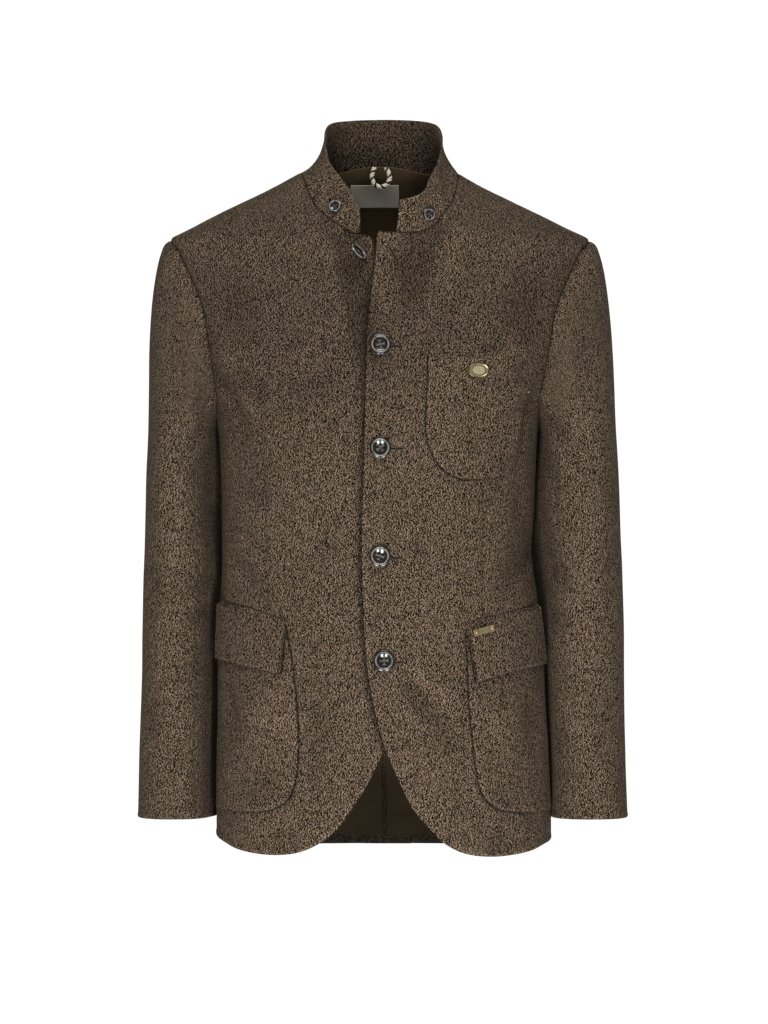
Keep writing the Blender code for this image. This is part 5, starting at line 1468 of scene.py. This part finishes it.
def pocket_pieces():
    for side, name, edge, top, low in (
        (1, "left", POCKET_LEFT, FLAP_LEFT_TOP, FLAP_LEFT_LOW),
        (-1, "right", POCKET_RIGHT, FLAP_RIGHT_TOP, FLAP_RIGHT_LOW),
    ):
        corner = flat(side * POCKET_SIDE, -470)
        low_corner = flat(side * POCKET_SIDE, edge[-1][1] + 1)
        bottom = np.vstack([front_curve(edge), low_corner])
        sides = [(bottom, "patch"), (np.array([low_corner, corner]), "patch"), (np.array([corner, bottom[0]]), "under")]
        # the flap's low edge and a line beside its front edge lay painted shadow into the pocket
        gap_line = front_curve([(x - 1.5 * side, z) for x, z in (top[0], ((top[0][0] + low[0][0]) / 2, (top[0][1] + low[0][1]) / 2), low[0])])
        flap_low = np.vstack([front_curve(low), flat(side * FLAP_SIDE, low[-1][1] + 3)])
        net = Net(sides, 4.5, gap=0.0, edge_step=2.5, lines=[(flap_low, False, 2.2, 0.62), (gap_line, False, 1.7, 0.92)])
        height, thick = pressed_down(net, np.array([corner, bottom[0]]), POCKET_AIR + CLOTH, 0.3, 13.0, CLOTH)
        points, faces, marks = net.raise_(lambda uv: height, thick, body_move(net.base), (211.0 * side, 37.0))
        obj = mesh_object("loden_pocket_" + name, points, faces, LODEN, marks=marks)
        dress(obj, "loden", "pocket_" + name, flat_size=(0.165, 0.225), area=cut_of(obj, 0.165, 0.225), rests_on=["loden_front_" + name])
        upper = np.vstack([front_curve(top), flat(side * FLAP_SIDE, top[-1][1] + 3)])
        sides = [(upper, "sewn"), (np.array([upper[-1], flap_low[-1]]), "edge"), (flap_low[::-1], "edge"), (np.array([flap_low[0], upper[0]]), "edge")]
        net = Net(sides, 4.0, gap=0.0, edge_step=2.5)
        flap_top = upper[0][1]
        down = np.clip((flap_top - net.uv[:, 1]) / 60, 0, 1)
        height, thick = pressed_down(net, upper, FLAP_AIR + 2 * CLOTH + 1.2 * smooth(down), 0.75, 15.0 - 10.0 * smooth((np.abs(net.base[:, 0]) - 138) / 18), CLOTH * 0.95)
        points, faces, marks = net.raise_(lambda uv: height, thick, body_move(net.base), (-320.0 * side, 91.0))
        obj = mesh_object("loden_flap_" + name, points, faces, LODEN, marks=marks)
        dress(obj, "loden", "flap_" + name, flat_size=(0.150, 0.075), area=cut_of(obj, 0.150, 0.075), rests_on=["loden_pocket_" + name])
    mouth, out_, rest = (flat_line(curve_through(part, 6)) for part in (BREAST[:4], BREAST[3:11], (*BREAST[10:], BREAST[0])))
    net = Net([(mouth, "mouth"), (out_, "faint"), (rest, "patch")], 4.5, gap=0.0, edge_step=2.5)
    points, faces, marks = net.raise_(POCKET_AIR + 0.5 + CLOTH, CLOTH, body_move(net.base), (411.0, 63.0))
    obj = mesh_object("loden_pocket_breast", points, faces, LODEN, marks=marks)
    dress(obj, "loden", "pocket_breast", flat_size=(0.130, 0.142), area=cut_of(obj, 0.130, 0.142), rests_on=["loden_front_left"])


panels()
sleeve_pieces()
collar_piece()
pocket_pieces()


# ------------------------------------------------------------------ hard trim
def tube_points(way, radius, sides=10, flat_ratio=1.0):
    """A closed round tube along a line, as points and triangles."""
    way = np.asarray(way, float)
    t = unit(np.gradient(way, axis=0))
    up = np.array([0.0, 0.0, 1.0]) if abs(t[0][2]) < 0.9 else np.array([1.0, 0.0, 0.0])
    frames = []
    a = unit(np.cross(t[0], up))
    for k in range(len(way)):
        a = unit(a - t[k] * (a @ t[k]))
        frames.append((a, np.cross(t[k], a)))
    radius = np.broadcast_to(np.asarray(radius, float), (len(way),))
    ang = np.linspace(0, 2 * math.pi, sides, endpoint=False)
    pts = [way[k] + radius[k] * (np.outer(np.cos(ang), frames[k][0]) + flat_ratio * np.outer(np.sin(ang), frames[k][1])) for k in range(len(way))]
    points = np.vstack([*pts, way[:1], way[-1:]])
    faces = []
    n = len(way)
    for k in range(n - 1):
        for i in range(sides):
            j = (i + 1) % sides
            a_, b_, c_, d_ = k * sides + i, k * sides + j, (k + 1) * sides + j, (k + 1) * sides + i
            faces += [(a_, b_, c_), (a_, c_, d_)]
    for i in range(sides):
        j = (i + 1) % sides
        faces += [(n * sides, j, i), (n * sides + 1, (n - 1) * sides + i, (n - 1) * sides + j)]
    faces = np.array(faces)
    return points, outward(points, faces)


def joined(parts):
    """Several (points, faces) as one mesh's lists, with each part's share of the faces."""
    points, faces, index, base = [], [], [], 0
    for k, (p, f) in enumerate(parts):
        points.append(p)
        faces.append(np.asarray(f) + base)
        index += [k] * len(f)
        base += len(p)
    return np.vstack(points), np.vstack(faces), index


def body_frame(x, z, behind=False):
    theta = theta_of(x, z, behind)
    normal = body_normal(theta, np.asarray(float(z)))
    across = unit(np.cross([0, 0, 1.0], normal))
    return body(theta, z), normal, across, unit(np.cross(normal, across))


def polar_disc(radius, height, rings, sides=72):
    """Points and triangles of a round face; height(x, y, r) gives its relief."""
    rs = np.asarray(rings) * radius
    points = [np.array([[0.0, 0.0, float(height(np.zeros(1), np.zeros(1), np.zeros(1))[0])]])]
    ang = np.linspace(0, 2 * math.pi, sides, endpoint=False)
    for r in rs:
        x, y = r * np.cos(ang), r * np.sin(ang)
        points.append(np.stack([x, y, height(x, y, np.full(sides, r))], -1))
    points = np.vstack(points)
    faces = [(0, 1 + i, 1 + (i + 1) % sides) for i in range(sides)]
    for k in range(len(rs) - 1):
        for i in range(sides):
            j = (i + 1) % sides
            a, b = 1 + k * sides + i, 1 + k * sides + j
            faces += [(a, a + sides, b + sides), (a, b + sides, b)]
    return points, np.array(faces)


def button_mesh(diameter, thick):
    """A turned horn button: thick rolled rim, a step, a dished middle with four drilled holes."""
    r0 = diameter / 2
    hole = 0.105 * r0 + 0.1
    away = 0.205 * r0

    def height(x, y, r):
        q = r / r0
        rim = 0.96 * bell((q - 0.765) / 0.105)
        lip = np.where(q > 0.88, -thick * 0.12 * ((q - 0.88) / 0.12) ** 2, 0)
        dish = 0.30 + 0.32 * np.minimum(q / 0.64, 1.0) ** 2
        h = thick * (0.5 * (dish + rim) + 0.5 * np.sqrt((dish - rim) ** 2 + 0.004)) + lip
        for sx, sy in ((1, 1), (1, -1), (-1, 1), (-1, -1)):
            d = np.hypot(x - sx * away, y - sy * away)
            h = h - thick * 0.40 * smooth((hole + 0.28 - d) / 0.5)
        return h

    rings = np.concatenate([np.linspace(0.03, 0.46, 26), np.linspace(0.48, 0.90, 24), [0.92, 0.94, 0.955, 0.97, 0.98, 0.99, 1.0]])
    top, faces = polar_disc(r0, height, rings)
    n = 72
    low = []
    for q, h in ((1.0, 0.46), (0.985, 0.36), (0.94, 0.22), (0.86, 0.10), (0.72, 0.02), (0.4, 0.0)):
        ang = np.linspace(0, 2 * math.pi, n, endpoint=False)
        low.append(np.stack([q * r0 * np.cos(ang), q * r0 * np.sin(ang), np.full(n, h * thick)], -1))
    start = len(top) - n
    points = np.vstack([top, *low, [[0, 0, 0]]])
    more = []
    previous = start
    base = len(top)
    for k in range(len(low)):
        for i in range(n):
            j = (i + 1) % n
            a, b, c, d = previous + i, previous + j, base + j, base + i
            more += [(a, d, c), (a, c, b)]
        previous, base = base, base + n
    tip = len(points) - 1
    more += [(previous + i, tip, previous + (i + 1) % n) for i in range(n)]
    faces = np.vstack([faces, np.array(more)])
    return points, outward(points, faces), away, hole


def placed(points, centre, normal, turn=0.0, up=(0, 0, 1.0)):
    normal = unit(np.asarray(normal, float))
    across = unit(np.cross(np.asarray(up, float), normal))
    upward = np.cross(normal, across)
    c, s = math.cos(turn), math.sin(turn)
    x = points[:, :1] * c - points[:, 1:2] * s
    y = points[:, :1] * s + points[:, 1:2] * c
    return np.asarray(centre, float) + x * across + y * upward + points[:, 2:] * normal


def button(name, node, centre, normal, diameter, thick, turn, shank=None):
    body_points, body_faces, away, hole = button_mesh(diameter, thick)
    parts = [(body_points, body_faces)]
    mats = [HORN]
    x, y = body_points[:, 0], body_points[:, 1]
    q = np.hypot(x, y) / (diameter / 2)
    holes = np.min([np.hypot(x - sx * away, y - sy * away) for sx in (1, -1) for sy in (1, -1)], axis=0)
    top = smooth((body_points[:, 2] / thick - 0.25) / 0.1)
    # painted highlight along the rim's crest, and a paler middle away from the holes
    pale = np.maximum(bell((q - 0.765) / 0.060), 0.42 * smooth((0.44 - q) / 0.07)) * top * smooth((holes - hole - 0.15) / 0.35)
    obj = mesh_object(name, placed(body_points, centre, normal, turn), body_faces, HORN, marks={"pale": pale})
    dress(obj, "horn", node)
    # four thread runs, two and two, over the middle of the button
    threads = []
    for s in (1, -1):
        for k, off in enumerate((-0.24, 0.0, 0.24)):
            ends = np.linspace(-1, 1, 13)
            x = ends * away
            y = np.full(13, s * away + off)
            z = thick * (0.50 + 0.12 * (1 - ends**2) + 0.03 * k) - 0.9 * (np.abs(ends) ** 8)
            threads.append(tube_points(np.stack([x, y, z], -1), 0.17, 6))
    if shank is not None:
        inward_way = np.linspace(0, 1, 8)[:, None] * np.asarray(shank, float)
        threads.append(tube_points(inward_way, 0.9, 8))
    points, faces, _ = joined(threads)
    thread = mesh_object(name + "_thread", placed(points, centre, normal, turn), faces, BROWN_THREAD)
    dress(thread, "horn")
    return obj


def front_point(x, z, lift):
    point, normal, across, up = body_frame(x, z)
    move = float(body_move(point.reshape(1, 3))[0])
    return point + normal * (lift + move), normal, across, up


def buttons():
    for name, x, z, diameter, lift, turn in BUTTONS:
        facing_up = name == "button_1"
        centre, normal, _, _ = front_point(x, z, lift - (CLOTH + LAP if facing_up else 0.0) * 0.0)
        if facing_up:
            button(name.replace("_", "_horn_"), name, centre, TIPPED, diameter, 3.6, math.radians(turn))
        else:
            button(name.replace("_", "_horn_"), name, centre, normal, diameter, 3.6, math.radians(turn))
    for name, share, up, turn in (("button_collar_right", 13 / 160, 0.36, 30), ("button_collar_left", 148 / 160, 0.28, -15)):
        point, normal = collar_surface(np.array([share]), np.array([up]))
        centre = point[0] + normal[0] * 0.7
        button(name.replace("button_", "button_horn_"), name, centre, normal[0], 15.0, 3.0, math.radians(turn))


def buttonholes():
    """Worked eyelet buttonholes on the left front: a row of close stitches each side of a near-black slit, a tube that
    stands for the shadow in the cut.
    """
    stitches, slits = [], []
    for (xa, za), (xb, zb) in BUTTONHOLES:
        a, b = np.array([xa, za]), np.array([xb, zb])
        along = unit(b - a)
        side = np.array([-along[1], along[0]])
        count = int(np.linalg.norm(b - a) / 0.62)
        way = []
        for k in range(9):
            q = a + (b - a) * k / 8
            way.append(front_point(q[0], q[1], 0.22)[0])
        slits.append(tube_points(np.array(way), 0.52, 6, 0.6))
        for k in range(count + 1):
            q = a + (b - a) * k / count
            for s in (1, -1):
                ends = []
                for m, h in ((0.62, -0.05), (0.9, 0.22), (1.2, 0.16), (1.45, -0.15)):
                    w = q + side * s * m
                    ends.append(front_point(w[0], w[1], h)[0])
                stitches.append(tube_points(np.array(ends), 0.22, 5))
    points, faces, _ = joined(stitches)
    obj = mesh_object("buttonhole_stitches", points, faces, thread_material("thread_hole", srgb(44, 37, 29), srgb(84, 73, 61)))
    dress(obj, "loden")
    # near-black tubes standing for the painted shadow in each slit
    points, faces, _ = joined(slits)
    obj = mesh_object("buttonhole_slits", points, faces, thread_material("slit_painted_shadow", srgb(2, 1, 1), srgb(5, 4, 3)))
    dress(obj, "loden")


def trim():
    # oval badge on the breast pocket: a gilt rim round plain cream enamel
    point, normal, across, up = body_frame(100.4, -215.3)
    move = float(body_move(point.reshape(1, 3))[0])
    lift = POCKET_AIR + CLOTH + 0.8 + move

    def relief(x, y, r):
        q = r / 8.6
        return 0.75 + 0.9 * bell((q - 0.88) / 0.09) + 0.55 * bell(q / 0.45) + 0.25 * bell((q - 0.62) / 0.05) - 0.8 * smooth((q - 0.93) / 0.07)

    rings = np.concatenate([np.linspace(0.06, 0.78, 16), np.linspace(0.81, 1.0, 9)])
    top, faces = polar_disc(8.6, relief, rings, 64)
    top = top * np.array([1.5, 1.0, 1.0])
    n = 64
    ang = np.linspace(0, 2 * math.pi, n, endpoint=False)
    base = np.stack([12.7 * np.cos(ang), 8.4 * np.sin(ang), np.zeros(n)], -1)
    points = np.vstack([top, base, [[0, 0, 0]]])
    start, low = len(top) - n, len(top)
    more = [t for i in range(n) for j in ((i + 1) % n,) for t in ((start + i, low + i, low + j), (start + i, low + j, start + j), (low + i, len(points) - 1, low + j))]
    faces = np.vstack([faces, np.array(more)])
    radius = np.hypot(points[:, 0] / 1.5, points[:, 1]) / 8.6
    obj = mesh_object("badge_oval", placed(points, point + normal * lift, normal), outward(points, faces), [CREAM_ENAMEL, GILT])
    for poly in obj.data.polygons:
        mean = np.mean([radius[i] for i in poly.vertices])
        poly.material_index = 1 if mean > 0.76 or 0.56 < mean < 0.68 else 0
    dress(obj, "enamel", "badge")

    # plain plate on the left flap, held by two pins with a turn of red thread
    point, normal, across, up = body_frame(104.5, -493.5)
    move = float(body_move(point.reshape(1, 3))[0]) * 0.9
    tilt = math.radians(14)
    along, over = across * math.cos(tilt) + up * math.sin(tilt), up * math.cos(tilt) - across * math.sin(tilt)
    base = point + normal * (FLAP_AIR + 2 * CLOTH + 1.4 + move)
    half_w, half_h, thick = 12.5, 3.5, 0.9
    ang = np.linspace(0, 2 * math.pi, 96, endpoint=False)

    def rounded(w, h, corner):
        out = []
        for cx, cy, a0 in ((w - corner, h - corner, 0), (-w + corner, h - corner, 90), (-w + corner, -h + corner, 180), (w - corner, -h + corner, 270)):
            for k in range(7):
                a = math.radians(a0 + 15 * k)
                out.append((cx + corner * math.cos(a), cy + corner * math.sin(a)))
        return np.array(out)

    rings_, heights = [], []
    for inset_, h in ((0.0, 0.0), (0.0, thick * 0.6), (0.12, thick * 0.88), (0.32, thick), (0.9, thick), (1.05, thick * 0.86), (1.3, thick * 0.82)):
        rings_.append(rounded(half_w - inset_, half_h - inset_, max(0.15, 0.9 - inset_)))
        heights.append(h)
    n = len(rings_[0])
    pts = np.vstack([np.column_stack([r, np.full(n, h)]) for r, h in zip(rings_, heights)] + [[[0, 0, 0]], [[0, 0, thick * 0.82]]])
    fs = []
    for k in range(len(rings_) - 1):
        for i in range(n):
            j = (i + 1) % n
            a, b = k * n + i, k * n + j
            fs += [(a, b, b + n), (a, b + n, a + n)]
    last = (len(rings_) - 1) * n
    for i in range(n):
        j = (i + 1) % n
        fs += [(len(pts) - 2, j, i), (len(pts) - 1, last + i, last + j)]
    world = base + pts[:, :1] * along + pts[:, 1:2] * over + pts[:, 2:] * normal
    obj = mesh_object("tag_plate_brass", world, outward(pts, np.array(fs)), BRASS, 35)
    dress(obj, "brass", "tag_plate")
    for k, s in ((1, -1), (2, 1)):
        def dome(x, y, r):
            return 0.75 - 0.45 * (r / 1.3) ** 2

        top, f = polar_disc(1.3, dome, np.linspace(0.15, 1.0, 7), 28)
        ring = np.stack([1.3 * np.cos(np.linspace(0, 2 * math.pi, 28, endpoint=False)), 1.3 * np.sin(np.linspace(0, 2 * math.pi, 28, endpoint=False)), np.zeros(28)], -1)
        p = np.vstack([top, ring, [[0, 0, 0]]])
        st, lo = len(top) - 28, len(top)
        m = [t for i in range(28) for j in ((i + 1) % 28,) for t in ((st + i, lo + i, lo + j), (st + i, lo + j, st + j), (lo + i, len(p) - 1, lo + j))]
        f = np.vstack([f, np.array(m)])
        centre = base + along * (s * 9.6) + normal * 0.95
        world = centre + p[:, :1] * along + p[:, 1:2] * over + p[:, 2:] * normal
        obj = mesh_object(f"tag_pin_head_{k}", world, outward(p, f), BRASS)
        dress(obj, "brass", f"tag_pin_{k}")
    threads = []
    for s, spread in ((-1, 1.6), (1, 1.2)):
        for off in (-0.35, 0.0, 0.35):
            ends = np.linspace(-1, 1, 9)
            x = np.full(9, s * 11.3 + off * 0.6)
            y = ends * spread + off
            z = thick + 0.28 * (1 - ends**2)
            w = base + x[:, None] * along + y[:, None] * over + z[:, None] * normal
            threads.append(tube_points(w, 0.2, 5))
    points, faces, _ = joined(threads)
    obj = mesh_object("tag_thread_red", points, faces, RED_THREAD)
    dress(obj, "brass")

    # bar tack where the breast pocket meets the armhole
    tacks = []
    for k in range(4):
        ends = np.linspace(0, 1, 8)
        pts = [front_point(154.9 + 5.2 * e, -237.2 + 0.24 * k, 0.42 + 0.25 * math.sin(math.pi * e))[0] for e in ends]
        tacks.append(tube_points(np.array(pts), 0.22, 5))
    points, faces, _ = joined(tacks)
    obj = mesh_object("bar_tack", points, faces, PALE_THREAD)
    dress(obj, "loden")

    # dark slanting tack at the front corner of the right flap
    tacks = []
    for k in range(3):
        ends = np.linspace(0, 1, 8)
        pts = [front_point(-112.3 + 4.6 * e + 0.2 * k, -486.2 - 2.7 * e + 0.3 * k, FLAP_AIR + 2 * CLOTH + 0.25 - 3.4 * (1 - smooth((5 + 2 * (1 - e)) / 15.0)) + 0.2 * math.sin(math.pi * e))[0] for e in ends]
        tacks.append(tube_points(np.array(pts), 0.2, 5))
    points, faces, _ = joined(tacks)
    obj = mesh_object("flap_tack", points, faces, BROWN_THREAD)
    dress(obj, "loden")


def neck_trim():
    # blank woven label, sewn to the lining
    corners = np.array([flat(float(theta_of(x, z, True)) % (2 * math.pi), z) for x, z in LABEL])
    sides = [(np.array([a, b]), "plain") for a, b in zip(corners, np.roll(corners, -1, 0))]
    net = Net(sides, 3.0, gap=0.0, edge_step=2.0)
    points, faces, marks = net.raise_(LABEL_LAYER, 0.6, 0.6 * body_move(net.base) + 0.12 * np.sin(net.uv[:, 0] / 6.0) * np.sin(net.uv[:, 1] / 5.0))
    obj = mesh_object("label_blank", points, faces, LABEL_CLOTH, marks=marks)
    dress(obj, "woven_label", "neck_label", flat_size=(0.056, 0.0255), area=cut_of(obj, 0.056, 0.0255), held="laid", rests_on=["satin_lining_back"])

    # hanger loop: three strands twisted together, two cream and one black
    way = curve_through(LOOP_WAY, 14)
    reach = reach_of(way)
    way = at_share(way, np.linspace(0, 1, 150))
    t = unit(np.gradient(way, axis=0))
    a = unit(np.cross(t[0], [0, 1.0, 0]))
    frames = []
    for k in range(len(way)):
        a = unit(a - t[k] * (a @ t[k]))
        frames.append((a, np.cross(t[k], a)))
    turns = reach[-1] / 8.0
    strands = {"cream": [], "black": []}
    for s in range(3):
        phase = 2 * math.pi * s / 3
        ang = phase + 2 * math.pi * turns * np.linspace(0, 1, 150)
        line = np.array([way[k] + 1.32 * (math.cos(ang[k]) * frames[k][0] + math.sin(ang[k]) * frames[k][1]) for k in range(150)])
        strands["black" if s == 2 else "cream"].append(tube_points(line, 1.42, 10))
    points, faces, _ = joined(strands["cream"])
    cream = mesh_object("loop_cream", points, faces, CREAM_CORD)
    dress(cream, "cord", "hanger_loop")
    points, faces, _ = joined(strands["black"])
    black = mesh_object("loop_black", points, faces, BLACK_CORD)
    dress(black, "cord")


buttons()
buttonholes()
trim()
neck_trim()


# ------------------------------------------------------------------ floor, light and camera
ROOM = 0.36
SOFTBOXES = (  # name, place, aim, width, height, power
    ("softbox_left", (-0.50, -2.6, -1.75), (0, 0, -0.50), 0.45, 1.2, 58),
    ("softbox_right", (0.50, -2.6, -1.75), (0, 0, -0.50), 0.45, 1.2, 54),
    ("softbox_top", (0.0, -1.3, 2.4), (0, 0, -0.20), 2.0, 1.0, 62),
    ("softbox_back", (0.0, 2.9, 0.9), (0, 0, -0.40), 1.0, 1.0, 20),
)


def stage():
    n = Nodes("floor_white")
    noise = n.add("TexNoise", {"Vector": n.place((1.0, 1.0, 1.0)), "Scale": 3.0, "Detail": 2.0})
    n.link(n.ramp(noise.outputs["Fac"], ((0.3, (0.93, 0.93, 0.93, 1)), (0.7, (0.95, 0.95, 0.95, 1)))), "Base Color")
    n.set(roughness=0.9, specular_ior_level=0.0)
    size, z = 11.0, -2.25
    ring = [(size * math.cos(a), size * math.sin(a), z) for a in np.linspace(0, 2 * math.pi, 97)[:-1]]
    mesh = bpy.data.meshes.new("floor")
    mesh.from_pydata(ring, [], [tuple(range(len(ring)))])
    mesh.materials.append(n.mat)
    floor = bpy.data.objects.new("floor", mesh)
    scene.collection.objects.link(floor)

    # a bright white room as the camera sees it, and a softer grey one as light on the cloth
    world = bpy.data.worlds.new("studio")
    scene.world = world
    world.use_nodes = True
    tree = world.node_tree
    seen, fill = tree.nodes["Background"], tree.nodes.new("ShaderNodeBackground")
    seen.inputs["Color"].default_value = fill.inputs["Color"].default_value = (1.0, 1.0, 1.0, 1.0)
    seen.inputs["Strength"].default_value = 1.05
    fill.inputs["Strength"].default_value = ROOM
    path, mix = tree.nodes.new("ShaderNodeLightPath"), tree.nodes.new("ShaderNodeMixShader")
    tree.links.new(path.outputs["Is Camera Ray"], mix.inputs[0])
    tree.links.new(fill.outputs[0], mix.inputs[1])
    tree.links.new(seen.outputs[0], mix.inputs[2])
    tree.links.new(mix.outputs[0], tree.nodes["World Output"].inputs["Surface"])

    for name, place, target, width, height, power in SOFTBOXES:
        light = bpy.data.lights.new(name, "AREA")
        light.shape, light.size, light.size_y, light.energy = "RECTANGLE", width, height, power
        obj = bpy.data.objects.new(name, light)
        obj.location = place
        obj.rotation_euler = (Vector(target) - Vector(place)).to_track_quat("-Z", "Y").to_euler()
        scene.collection.objects.link(obj)

    cam = bpy.data.cameras.new("camera")
    cam.sensor_fit = "VERTICAL"
    cam.sensor_height = 36.0
    cam.sensor_width = 27.0
    cam.lens = 36.0 * 5.5 / 1.11616
    cam.clip_start, cam.clip_end = 0.1, 100.0
    obj = bpy.data.objects.new("camera", cam)
    obj.location = (0.00109, -5.5, -0.36624)
    obj.rotation_euler = (math.pi / 2, 0, 0)
    scene.collection.objects.link(obj)
    scene.camera = obj
    scene.view_settings.view_transform = "Standard"
    scene.view_settings.look = "None"


stage()
